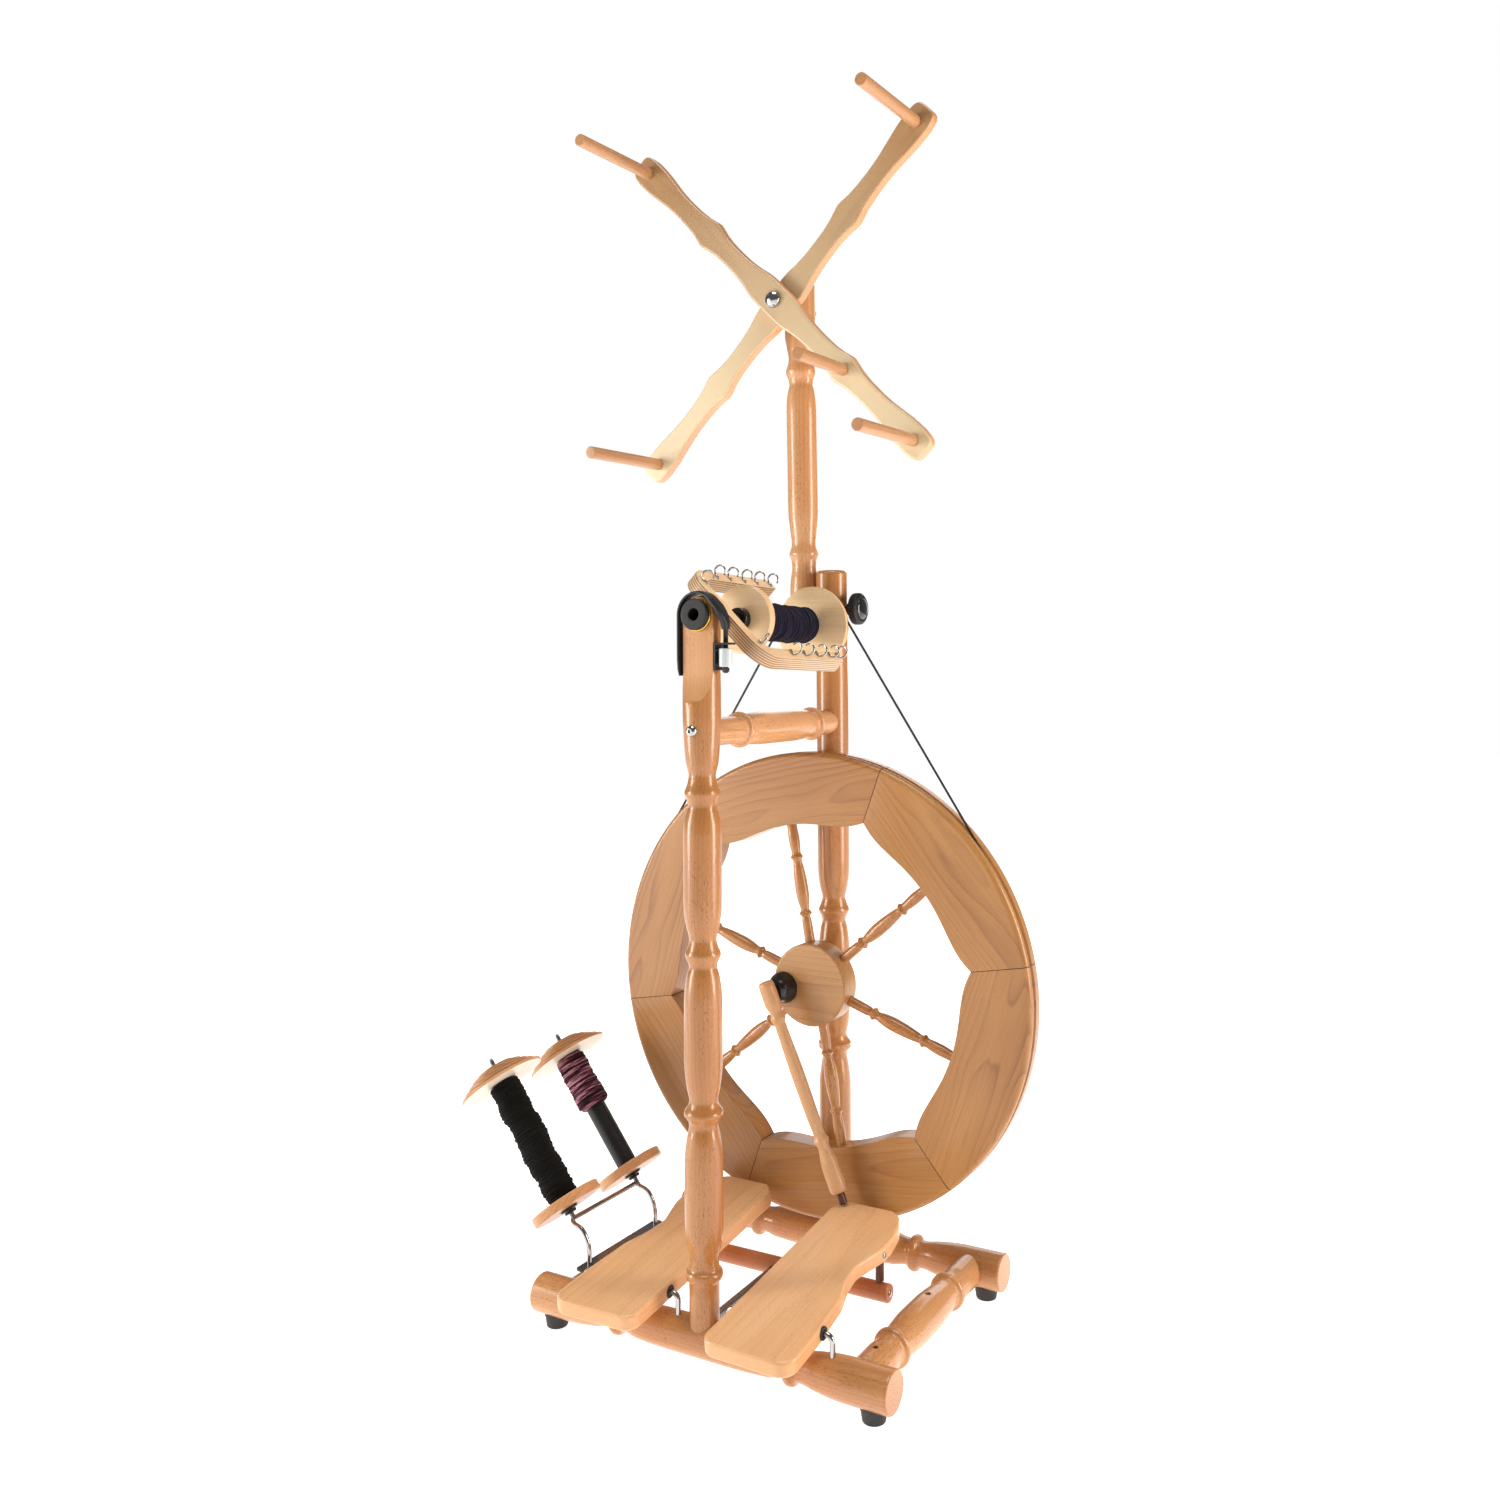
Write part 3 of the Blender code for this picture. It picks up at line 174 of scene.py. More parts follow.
def wood(name, mid, light, dark, axis='Z', seed=0.0, rings=260.0, ring_amt=0.35, flecks=0.5, fleck_col=None,
         pith=(0.05, 0.02), figure=1.0, rough=0.34, coat=0.25, tone=0.5, plies=None, edge=None, ends=None):
    """Solid lacquered wood.  Growth rings run round a pith beside the piece,
    so faces show figure and ends show arcs; flecks and pores run with the grain."""
    N = Nodes(name)
    v = N.mapping(rot=AXROT[axis], loc=(pith[0], pith[1], seed * 0.37))
    # growth rings
    warp = N.noise(N.mapping(scale=(9 * figure, 9 * figure, 2.2 * figure), vec=v), 1.0, 2.0, 0.5)
    sep = N.t.nodes.new("ShaderNodeSeparateXYZ")
    N.t.links.new(v, sep.inputs[0])
    x2 = N.math('MULTIPLY', sep.outputs[0], sep.outputs[0])
    y2 = N.math('MULTIPLY', sep.outputs[1], sep.outputs[1])
    rad = N.math('SQRT', N.math('ADD', x2, y2))
    rad = N.math('MULTIPLY_ADD', warp, 0.014 * figure, rad)
    fine = N.noise(N.mapping(scale=(160, 160, 5), vec=v), 1.0, 2.0, 0.6)
    ph = N.math('MULTIPLY_ADD', fine, 0.16, N.math('MULTIPLY', rad, rings))
    wave = N.math('FRACT', ph)
    some = N.noise(N.mapping(scale=(60, 60, 6), loc=(seed, 0.3, 4.0), vec=v), 1.0, 2.0, 0.5)
    ringm = N.math('MULTIPLY', N.ramp(wave, [(0.0, 0.0), (0.45, 0.10), (0.80, 0.55), (0.92, 1.0), (1.0, 0.0)]), N.ramp(some, [(0.3, 0.35), (0.65, 1.0)]))
    col = N.mix(N.math('MULTIPLY', ringm, ring_amt), mid, dark)
    # broad tone
    broad = N.noise(N.mapping(scale=(14, 14, 3.0), loc=(seed, 2.3, seed), vec=v), 1.0, 2.0, 0.5)
    col = N.mix(N.ramp(broad, [(0.35, 0.0), (0.68, tone)]), col, light)
    # fibres
    fib = N.noise(N.mapping(scale=(900, 900, 14), vec=v), 1.0, 3.0, 0.65)
    col = N.mix(N.ramp(fib, [(0.36, 0.20), (0.60, 0.0)]), col, dark)
    # rays: short lens-shaped flecks along the grain
    vor = N.noise(N.mapping(scale=(1300, 1300, 300), loc=(3.1, seed, 1.7), vec=v), 1.0, 1.0, 0.4)
    dens = N.noise(N.mapping(scale=(50, 50, 12), loc=(seed, 5.1, 1.7), vec=v), 1.0, 2.0, 0.5)
    fm = N.math('MULTIPLY', N.ramp(vor, [(0.60, 0.0), (0.69, 1.0)]), N.ramp(dens, [(0.36, 0.25), (0.62, 1.0)]))
    fc = fleck_col or (dark[0] * 0.72, dark[1] * 0.62, dark[2] * 0.52, 1)
    col = N.mix(N.math('MULTIPLY', fm, flecks), col, fc)
    if ends:
        # painted highlight: one end paler than the other, a gradient along the board standing in for the sheen its
        # lower end catches
        ax, e0, e1, painted_sheen_col = ends
        se = N.t.nodes.new("ShaderNodeSeparateXYZ")
        N.t.links.new(N.tc.outputs["Object"], se.inputs[0])
        painted_sheen_u = N.math('MULTIPLY_ADD', se.outputs['XYZ'.index(ax)], 1.0 / (e1 - e0), -e0 / (e1 - e0))
        painted_sheen_u = N.math('MULTIPLY_ADD', broad, 0.22, painted_sheen_u)
        col = N.mix(N.ramp(painted_sheen_u, [(0.10, 0.0), (1.0, 0.85)]), col, painted_sheen_col)
    if plies:
        # veneer layers show on the board's edges: stripes across its thickness
        ax, t0, t1, count, dcol, amt = plies
        s = N.t.nodes.new("ShaderNodeSeparateXYZ")
        N.t.links.new(N.tc.outputs["Object"], s.inputs[0])
        u = N.math('MULTIPLY_ADD', s.outputs['XYZ'.index(ax)], count / (t1 - t0), -t0 * count / (t1 - t0) + 0.25)
        u = N.math('MULTIPLY_ADD', N.noise(N.mapping(scale=(30, 30, 30)), 1.0, 2.0), 0.16, u)
        st = N.math('FRACT', u)
        line = N.ramp(st, [(0.0, 1.0), (0.10, 0.9), (0.24, 0.10), (0.46, 0.0), (0.56, 0.62), (0.86, 0.55), (1.0, 1.0)])
        sn = N.t.nodes.new("ShaderNodeSeparateXYZ")
        N.t.links.new(N.tc.outputs["Normal"], sn.inputs[0])
        a = N.math('ABSOLUTE', sn.outputs['XYZ'.index(ax)])
        em = N.ramp(a, [(0.45, 1.0), (0.75, 0.0)])
        col = N.mix(N.math('MULTIPLY', N.math('MULTIPLY', line, em), amt), col, dcol)
    if edge:
        ax, ecol, amt = edge
        sn = N.t.nodes.new("ShaderNodeSeparateXYZ")
        N.t.links.new(N.tc.outputs["Normal"], sn.inputs[0])
        a = N.math('ABSOLUTE', sn.outputs['XYZ'.index(ax)])
        em = N.ramp(a, [(0.35, 1.0), (0.85, 0.0)])
        col = N.mix(N.math('MULTIPLY', em, amt), col, ecol)
    N.put(N.b, "Base_Color", col)
    r = N.ramp(fib, [(0.3, rough + 0.07), (0.7, rough - 0.03)])
    N.t.links.new(r, N.b.inputs["Roughness"])
    N.bump(N.math('MULTIPLY_ADD', fm, -0.5, fib), 0.12, 0.0002)
    N.set(Coat_Weight=coat, Coat_Roughness=0.16, IOR=1.48)
    N.b.inputs["Specular IOR Level"].default_value = 0.42
    return N.m


def plain(name, col, rough, metal=0.0, var=0.06, scale=300.0, bump=0.05, coat=0.0, spec=0.5):
    """Plastics, rubber and metals: slight mottling, scuffs in the roughness and a fine surface."""
    N = Nodes(name)
    n1 = N.noise(N.mapping(), scale, 3.0, 0.6)
    n2 = N.noise(N.mapping(), scale * 0.12, 2.0, 0.5)
    hi = tuple(min(1.0, c * (1 + var) + var * 0.02) for c in col[:3]) + (1,)
    lo = tuple(c * (1 - var) for c in col[:3]) + (1,)
    N.put(N.b, "Base_Color", N.mix(N.ramp(n1, [(0.3, 0.0), (0.7, 1.0)]), lo, hi))
    N.t.links.new(N.ramp(n2, [(0.3, max(0.02, rough - 0.05)), (0.7, rough + 0.06)]), N.b.inputs["Roughness"])
    if bump:
        N.bump(n1, bump, 0.0002)
    N.set(Metallic=metal, Coat_Weight=coat, Coat_Roughness=0.1)
    N.b.inputs["Specular IOR Level"].default_value = spec
    return N.m


# ---------------------------------------------------------------- palette
MID, LIGHT, DARK = lin(176, 116, 62), lin(204, 150, 94), lin(122, 68, 28)
PMID, PLIGHT, PDARK = lin(222, 192, 148), lin(236, 214, 178), lin(190, 150, 104)
TMID, TLIGHT, TDARK = lin(232, 182, 132), lin(242, 202, 158), lin(186, 128, 80)
RMID, RLIGHT, RDARK = lin(168, 115, 62), lin(192, 141, 84), lin(112, 64, 24)


def beech(name, seed, axis='Z', painted_light_lift=1.0, **kw):
    a = dict(rings=250.0, ring_amt=0.50, flecks=0.7, pith=(0.040, 0.018), figure=1.0, tone=0.5, rough=0.27, coat=0.45)
    a.update(kw)
    # a factor above 1 makes paler copies of the beech for pieces that catch more light: painted light in the base
    # colour
    mid, light, dark = [tuple(min(0.9, c * k) for c, k in zip(col[:3], (painted_light_lift, painted_light_lift * (0.5 + 0.5 * painted_light_lift), painted_light_lift * (2.0 * painted_light_lift - 1.0)))) + (1,) for col in (MID, LIGHT, DARK)]
    return wood(name, mid, light, dark, axis=axis, seed=seed, **a)


BLACK = plain("black_plastic_look", lin(24, 24, 26), 0.40, var=0.12, scale=900, bump=0.08, spec=0.35)
BLACK_GLOSS = plain("black_gloss_look", lin(22, 22, 24), 0.22, var=0.1, scale=500, bump=0.03)
CAPBLACK = plain("black_cap_look", lin(14, 15, 16), 0.08, var=0.1, scale=400, bump=0.0, coat=1.0)
RUBBER = plain("rubber_look", lin(26, 26, 27), 0.55, var=0.15, scale=1200, bump=0.2)
CHROME = plain("chrome_look", lin(176, 178, 180), 0.12, metal=1.0, var=0.05, scale=200, bump=0.0)
STEEL = plain("steel_look", lin(128, 128, 130), 0.30, metal=1.0, var=0.1, scale=400, bump=0.06)
BRASS = plain("brass_look", lin(226, 190, 96), 0.20, metal=1.0, var=0.06, scale=300, bump=0.0)
WHITE = plain("white_plastic_look", lin(198, 204, 208), 0.38, var=0.04, scale=300, bump=0.03)
LINKMAT = plain("brown_link_look", lin(84, 44, 30), 0.34, var=0.2, scale=300, bump=0.05)
BELT = plain("belt_look", lin(28, 28, 30), 0.5, var=0.2, scale=1500, bump=0.2)
# dark line colour: real glue at the rim joints, painted shadow in the notches of the kate whorl steps
GLUE_AND_SHADOW_LINE = plain("glue_joint_and_shadow_line_look", lin(92, 56, 32), 0.6, var=0.2, scale=500, bump=0.0)
# painted shade for the inside of holes
PAINTED_HOLE_SHADE = plain("painted_hole_shade_look", lin(40, 22, 14), 0.8, var=0.2, scale=500, bump=0.0)


# ---------------------------------------------------------------- mesh helpers
def weigh_normals(me):
    """Corner normals weighted by face area, so broad flats stay flat and the
    rounding between them takes the whole turn.  Sharp edges part the fans."""
    nl = len(me.loops)
    sharp = [e.use_edge_sharp for e in me.edges]
    fn = [p.normal.copy() for p in me.polygons]
    fa = [p.area for p in me.polygons]
    at_vert = [[] for _ in me.vertices]
    owner = [0] * nl
    prev = [0] * nl
    for p in me.polygons:
        ls = list(p.loop_indices)
        for i, l in enumerate(ls):
            owner[l] = p.index
            prev[l] = ls[i - 1]
            at_vert[me.loops[l].vertex_index].append(l)
    out = [None] * nl
    for ls in at_vert:
        if len(ls) == 1:
            out[ls[0]] = fn[owner[ls[0]]]
            continue
        # corners of one vertex joined across smooth edges
        by_edge = {}
        for l in ls:
            for e in (me.loops[l].edge_index, me.loops[prev[l]].edge_index):
                by_edge.setdefault(e, []).append(l)
        root = {l: l for l in ls}

        def find(a):
            while root[a] != a:
                a = root[a]
            return a
        for e, pair in by_edge.items():
            if len(pair) == 2 and not sharp[e]:
                root[find(pair[0])] = find(pair[1])
        sums = {}
        for l in ls:
            k = find(l)
            v = fn[owner[l]] * fa[owner[l]]
            sums[k] = sums[k] + v if k in sums else v
        for l in ls:
            v = sums[find(l)]
            out[l] = v.normalized() if v.length > 1e-20 else fn[owner[l]]
    me.normals_split_custom_set(out)


def finish_mesh(name, bm, mats, mtx, body, replaces=(), angle=30, flip_check=True):
    if flip_check:
        bmesh.ops.recalc_face_normals(bm, faces=bm.faces[:])
    bmesh.ops.scale(bm, vec=(MM, MM, MM), verts=bm.verts[:])
    me = bpy.data.meshes.new(name)
    bm.to_mesh(me)
    bm.free()
    for m in (mats if isinstance(mats, (list, tuple)) else [mats]):
        me.materials.append(m)
    me.shade_smooth()
    me.set_sharp_from_angle(angle=radians(angle))
    weigh_normals(me)
    o = bpy.data.objects.new(name, me)
    COL.objects.link(o)
    m = mtx.copy()
    m.translation = m.translation * MM
    o.matrix_world = m
    if body:
        bpy.context.view_layer.update()
        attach(o, body)
    if replaces:
        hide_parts(*replaces)
    return o


AXES = {'Z': lambda r, h, a: (r * cos(a), r * sin(a), h),
        'X': lambda r, h, a: (h, r * cos(a), r * sin(a)),
        'Y': lambda r, h, a: (r * sin(a), h, r * cos(a))}


def curve_prof(pts, step=2.0, most=10):
    """Monotone cubic through turned stations (height rising), finely sampled."""
    h = [p[1] for p in pts]
    r = [p[0] for p in pts]
    n = len(pts)
    d = [(r[i + 1] - r[i]) / (h[i + 1] - h[i]) for i in range(n - 1)]
    m = [d[0]] + [0.0 if d[i - 1] * d[i] <= 0 else 2 * d[i - 1] * d[i] / (d[i - 1] + d[i]) for i in range(1, n - 1)] + [d[-1]]
    out = []
    for i in range(n - 1):
        L = h[i + 1] - h[i]
        flat = abs(r[i + 1] - r[i]) < 0.02 and abs(m[i]) < 1e-3 and abs(m[i + 1]) < 1e-3
        k = 1 if flat else max(2, min(most, int(L / step + 0.5)))
        for j in range(k):
            t = j / k
            a = (1 + 2 * t) * (1 - t) ** 2 * r[i] + t * (1 - t) ** 2 * L * m[i] + t * t * (3 - 2 * t) * r[i + 1] + t * t * (t - 1) * L * m[i + 1]
            out.append((a, h[i] + L * t))
    out.append(pts[-1])
    return out


def lathe(profile, segs=48, axis='Z', closed=False, saddle0=None, saddle1=None, phase=0.0):
    """A turned solid.  saddle0/saddle1 reshape the first and last ring: a
    function of the ring's two cross coordinates giving the height there."""
    f = AXES[axis]
    bm = bmesh.new()
    rings = []
    last = len(profile) - 1
    for k, (r, h) in enumerate(profile):
        if r <= 1e-6:
            rings.append([bm.verts.new(f(0, h, 0))])
            continue
        ring = []
        for i in range(segs):
            a = phase + 2 * pi * i / segs
            hh = h
            if k == 0 and saddle0:
                hh = saddle0(f(r, 0, a))
            if k == last and saddle1:
                hh = saddle1(f(r, 0, a))
            ring.append(bm.verts.new(f(r, hh, a)))
        rings.append(ring)
    pairs = [(i, i + 1) for i in range(last)]
    if closed:
        pairs.append((last, 0))
    for a, b in pairs:
        A, B = rings[a], rings[b]
        if len(A) == 1 and len(B) == 1:
            continue
        for i in range(segs):
            j = (i + 1) % segs
            if len(A) == 1:
                bm.faces.new((A[0], B[i], B[j]))
            elif len(B) == 1:
                bm.faces.new((A[i], A[j], B[0]))
            else:
                bm.faces.new((A[i], A[j], B[j], B[i]))
    if not closed:
        for k in (0, last):
            if len(rings[k]) > 1:
                bm.faces.new(rings[k])
    return bm


def corner(r0, h0, r1, h1, r2, h2, rad, n=4):
    """A rounded corner in a profile: from p0 through corner p1 towards p2."""
    p = Vector((r1, h1))
    a = (Vector((r0, h0)) - p).normalized()
    b = (Vector((r2, h2)) - p).normalized()
    ang = a.angle(b)
    d = rad / tan(ang / 2)
    c = p + (a + b).normalized() * (rad / sin(ang / 2))
    s, e = p + a * d, p + b * d
    a0, a1 = atan2(s.y - c.y, s.x - c.x), atan2(e.y - c.y, e.x - c.x)
    da = (a1 - a0 + pi) % (2 * pi) - pi
    return [(c.x + rad * cos(a0 + da * k / n), c.y + rad * sin(a0 + da * k / n)) for k in range(n + 1)]


def poly_prof(pts, rads, closed=False, n=4):
    """A profile from corner points with a rounding radius at each."""
    out = []
    m = len(pts)
    for i, (p, rd) in enumerate(zip(pts, rads)):
        if rd <= 0 or (not closed and i in (0, m - 1)):
            out.append(p)
        else:
            q0, q2 = pts[i - 1], pts[(i + 1) % m]
            out += corner(q0[0], q0[1], p[0], p[1], q2[0], q2[1], rd, n)
    return out


def tube(points, radius, sides=12, loop=False, section=None, up=None, radii=None):
    pts = [Vector(p) for p in points]
    n = len(pts)
    bm = bmesh.new()
    ref = Vector(up) if up else Vector((0, 0, 1))
    tans = []
    for i in range(n):
        if loop:
            t = pts[(i + 1) % n] - pts[i - 1]
        elif i == 0:
            t = pts[1] - pts[0]
        elif i == n - 1:
            t = pts[-1] - pts[-2]
        else:
            t = (pts[i + 1] - pts[i]).normalized() + (pts[i] - pts[i - 1]).normalized()
        tans.append(t.normalized())
    if abs(ref.dot(tans[0])) > 0.9:
        ref = Vector((0, 1, 0))
    nrm = (ref - tans[0] * ref.dot(tans[0])).normalized()
    rings = []
    for i in range(n):
        t = tans[i]
        nrm = (Vector(up) - t * Vector(up).dot(t)).normalized() if up else (nrm - t * nrm.dot(t)).normalized()
        bi = t.cross(nrm)
        rr = radii[i] if radii else radius
        if section:
            rings.append([bm.verts.new(pts[i] + nrm * a + bi * b) for a, b in section])
        else:
            rings.append([bm.verts.new(pts[i] + (nrm * cos(2 * pi * k / sides) + bi * sin(2 * pi * k / sides)) * rr) for k in range(sides)])
    m = len(rings[0])
    for i in range(n if loop else n - 1):
        A, B = rings[i], rings[(i + 1) % n]
        for k in range(m):
            l = (k + 1) % m
            bm.faces.new((A[k], A[l], B[l], B[k]))
    if not loop:
        bm.faces.new(rings[0])
        bm.faces.new(rings[-1])
    return bm


def smooth_path(pts, per=6):
    """Catmull-Rom through points."""
    P = [Vector(p) for p in pts]
    P = [P[0] * 2 - P[1]] + P + [P[-1] * 2 - P[-2]]
    out = []
    for i in range(1, len(P) - 2):
        for k in range(per):
            t = k / per
            a, b, c, d = P[i - 1], P[i], P[i + 1], P[i + 2]
            out.append(0.5 * ((2 * b) + (c - a) * t + (2 * a - 5 * b + 4 * c - d) * t * t + (3 * b - a - 3 * c + d) * t ** 3))
    out.append(P[-2])
    return out


def rounded(points, radii, n=6):
    out = []
    m = len(points)
    for i, (p, r) in enumerate(zip(points, radii)):
        if r <= 0:
            out.append(tuple(p))
            continue
        p = Vector(p)
        a = Vector(points[i - 1]) - p
        b = Vector(points[(i + 1) % m]) - p
        la, lb = a.length, b.length
        a.normalize()
        b.normalize()
        ang = a.angle(b)
        d = min(r / tan(ang / 2), la * 0.49, lb * 0.49)
        rr = d * tan(ang / 2)
        c = p + (a + b).normalized() * (rr / sin(ang / 2))
        s, e = p + a * d, p + b * d
        a0 = atan2(s.y - c.y, s.x - c.x)
        a1 = atan2(e.y - c.y, e.x - c.x)
        da = (a1 - a0 + pi) % (2 * pi) - pi
        for k in range(n + 1):
            t = a0 + da * k / n
            out.append((c.x + rr * cos(t), c.y + rr * sin(t)))
    return out


def board(outline, t0, t1, plane='XY', edge=2.5, n=4):
    """A flat board with rounded arrises: inset rings at both faces."""
    def put(a, b, t):
        return {'XY': (a, b, t), 'XZ': (a, t, b), 'YZ': (t, a, b)}[plane]
    m = len(outline)
    P = [Vector(p) for p in outline]
    area = sum(P[i].x * P[(i + 1) % m].y - P[(i + 1) % m].x * P[i].y for i in range(m))
    sgn = 1.0 if area > 0 else -1.0
    nor = []
    for i in range(m):
        e0 = (P[i] - P[i - 1])
        e1 = (P[(i + 1) % m] - P[i])
        n0 = Vector((e0.y, -e0.x)).normalized() * sgn
        n1 = Vector((e1.y, -e1.x)).normalized() * sgn
        v = (n0 + n1)
        v = v.normalized() / max(0.5, sqrt((1 + n0.dot(n1)) / 2))
        nor.append(v)
    bm = bmesh.new()
    rings = []
    for side in (0, 1):
        seq = []
        for k in range(n + 1):
            a = (pi / 2) * k / n
            ins = edge * (1 - sin(a))
            dep = edge * (1 - cos(a))
            seq.append((ins, dep))
        if side == 0:
            for ins, dep in seq:
                rings.append([bm.verts.new(put(*(P[i] - nor[i] * ins), t0 + dep)) for i in range(m)])
        else:
            for ins, dep in reversed(seq):
                rings.append([bm.verts.new(put(*(P[i] - nor[i] * ins), t1 - dep)) for i in range(m)])
    for A, B in zip(rings, rings[1:]):
        for k in range(m):
            l = (k + 1) % m
            bm.faces.new((A[k], A[l], B[l], B[k]))
    bm.faces.new(rings[0])
    bm.faces.new(rings[-1])
    return bm


def join(*parts):
    out = bmesh.new()
    for b in parts:
        me = bpy.data.meshes.new("tmp")
        b.to_mesh(me)
        b.free()
        out.from_mesh(me)
        bpy.data.meshes.remove(me)
    return out


def shift(bm, v):
    bmesh.ops.translate(bm, vec=v, verts=bm.verts[:])
    return bm


def boolean(o, cutter_bm, mtx, op='DIFFERENCE'):
    """Applies an exact Boolean now and removes the cutter."""
    c = finish_mesh("cutter_tmp", cutter_bm, [o.data.materials[0]], mtx, None)
    bpy.context.view_layer.update()
    md = o.modifiers.new("cut", 'BOOLEAN')
    md.operation, md.solver, md.object = op, 'EXACT', c
    dg = bpy.context.evaluated_depsgraph_get()
    me = bpy.data.meshes.new_from_object(o.evaluated_get(dg))
    o.modifiers.remove(md)
    old = o.data
    o.data = me
    bpy.data.meshes.remove(old)
    cm = c.data
    bpy.data.objects.remove(c)
    bpy.data.meshes.remove(cm)
    me.shade_smooth()
    me.set_sharp_from_angle(angle=radians(32))
    weigh_normals(me)
    return o


def fit(h, r):
    """Height of a saddle over a rail of radius r whose axis is at height h."""
    return h + r


# ---------------------------------------------------------------- camera
CAM_C = Vector((717.057, -1046.077, 658.975))
YAW, PITCH, ROLL = radians(29.13), radians(1.59), radians(-0.40)
FPX, PPX, PPY = 1327.085, 824.601, 628.488
d = Vector((-sin(YAW) * cos(PITCH), cos(YAW) * cos(PITCH), sin(PITCH)))
r = Vector((cos(YAW), sin(YAW), 0))
u = r.cross(d)
r2 = r * cos(ROLL) + u * sin(ROLL)
u2 = u * cos(ROLL) - r * sin(ROLL)
cam_data = bpy.data.cameras.new("view_camera")
cam_data.sensor_width = 36.0
cam_data.sensor_fit = 'HORIZONTAL'
cam_data.lens = FPX / 1500.0 * 36.0
cam_data.shift_x = (750.0 - PPX) / 1500.0
cam_data.shift_y = (PPY - 750.0) / 1500.0
cam_data.clip_start, cam_data.clip_end = 0.01, 60.0
cam = bpy.data.objects.new("view_camera", cam_data)
COL.objects.link(cam)
mw = Matrix((r2, u2, -d)).transposed().to_4x4()
mw.translation = (CAM_C + Vector((OX, OY, 0))) * MM
cam.matrix_world = mw
bpy.context.scene.camera = cam
bpy.context.scene.view_settings.view_transform = 'Standard'

# ---------------------------------------------------------------- base rails, stretchers, feet


def bead(at, rr, neck, w=4.6):
    """A turned bead: a half-round standing on small fillets between two coves."""
    f = neck + 0.36 * (rr - neck)
    arc = [(f + (rr - f) * cos(radians(q)), at + 0.98 * w * sin(radians(q))) for q in (-82, -62, -42, -21, 0, 21, 42, 62, 82)]
    return [(neck, at - 2.1 * w), (neck + 0.12 * (f - neck), at - 1.45 * w), (f - 0.05, at - 1.08 * w)] + arc \
        + [(f - 0.05, at + 1.08 * w), (neck + 0.12 * (f - neck), at + 1.45 * w), (neck, at + 2.1 * w)]


def mirrored(half):
    return [(a, -h) for a, h in reversed(half)] + half


rail_half = [(17.7, 12.0), (17.6, 40.0), (16.4, 72.0)] + bead(97.5, 18.6, 13.8)
rail_half += [(16.4, 124.0), (18.4, 142.0), (RAIL_R, 158.0), (RAIL_R, RAIL_HALF - 2.4)]
rail_p = curve_prof(mirrored(rail_half), 2.4)
cap = [(RAIL_R - 0.25, RAIL_HALF - 1.3), (RAIL_R - 0.9, RAIL_HALF - 0.4), (RAIL_R - 2.0, RAIL_HALF)]
rail_p = [(a, -h) for a, h in reversed(cap)] + rail_p + cap
# the rails get a paler copy of the beech: painted light for the light they catch
for nm, y, sd in (("front_rail", 0.0, 1.0), ("rear_rail", REAR_Y, 4.0)):
    finish_mesh(nm + "_turned", lathe(rail_p, 56, 'X'), beech(nm + "_wood", sd, 'X', painted_light_lift=1.12, pith=(0.035, 0.012)), place((0, y, RAIL_Z)),
                "stand", [nm], 34)

SADDLE_R = RAIL_R + 0.25
MID_R = 17.9
stretch = [(16.2, 6.0), (16.2, 20.0), (16.4, 42.0)] + bead(67.0, 18.8, 14.9, 4.0) \
    + [(16.6, 88.0), (18.0, 112.0), (17.8, 142.0), (16.2, 166.0)] + bead(192.0, 18.6, 14.6, 4.0) + [(15.9, 215.0), (15.9, 250.0)]
sp = curve_prof(stretch, 2.4)
# the stretchers get a paler copy of the beech: painted light for the light they catch
for nm, x, sd in (("left_stretcher", -STRETCH_X, 7.0), ("right_stretcher", STRETCH_X, 9.0)):
    o = finish_mesh(nm + "_turned", lathe(sp, 56, 'Y',
                    saddle0=lambda p: sqrt(max(0.0, SADDLE_R ** 2 - p[2] ** 2)),
                    saddle1=lambda p: REAR_Y - sqrt(max(0.0, SADDLE_R ** 2 - p[2] ** 2))),
                    beech(nm + "_wood", sd, 'Y', painted_light_lift=1.2, ring_amt=0.75, rings=620, pith=(0.008, 0.075), figure=0.5), place((x, 0, RAIL_Z)), "stand", [nm], 34)
    if x > 0:
        for i, y in enumerate(KATE_Y):
            boolean(o, lathe([(0, 4.0), (2.7, 4.0), (2.7, 30.0), (0, 30.0)], 28, 'Z'), place((x, y, RAIL_Z)))
            # a dark sleeve inside each drilled pin hole: painted shade on the walls of the hole
            finish_mesh("pin_hole_painted_shade_%d" % (i + 1), lathe([(0, 4.2), (2.62, 4.2), (2.62, 14.6 if i == 0 else 16.0), (2.3, 14.6 if i == 0 else 16.0), (2.3, 5.0), (0, 5.0)], 28, 'Z'),
                        PAINTED_HOLE_SHADE, place((x, y, RAIL_Z)), "stand", ())

foot_p = poly_prof([(0, 0), (FOOT_R - 2.4, 0), (FOOT_R - 0.7, FOOT_TOP - 4.2), (FOOT_R, FOOT_TOP - 3.6), (FOOT_R, FOOT_TOP), (0, FOOT_TOP)],
                   [0, 1.6, 0.3, 0.3, 0.2, 0], n=4)
for nm, x, y in (("foot_front_left", -FOOT_X, 0), ("foot_front_right", FOOT_X, 0), ("foot_rear_left", -FOOT_X, REAR_Y),
                 ("foot_rear_right", FOOT_X, REAR_Y)):
    finish_mesh(nm + "_rubber", lathe(foot_p, 48, 'Z'), RUBBER, place((x, y, 0)), "stand", [nm])

# ---------------------------------------------------------------- posts
LOWER = [(14.2, 29.0), (14.2, 60.0), (14.2, 79.0)] + bead(88.8, 17.6, 14.0, 4.6)[1:-1] + [(13.5, 104.0), (15.2, 112.0), (17.7, 124.0)]


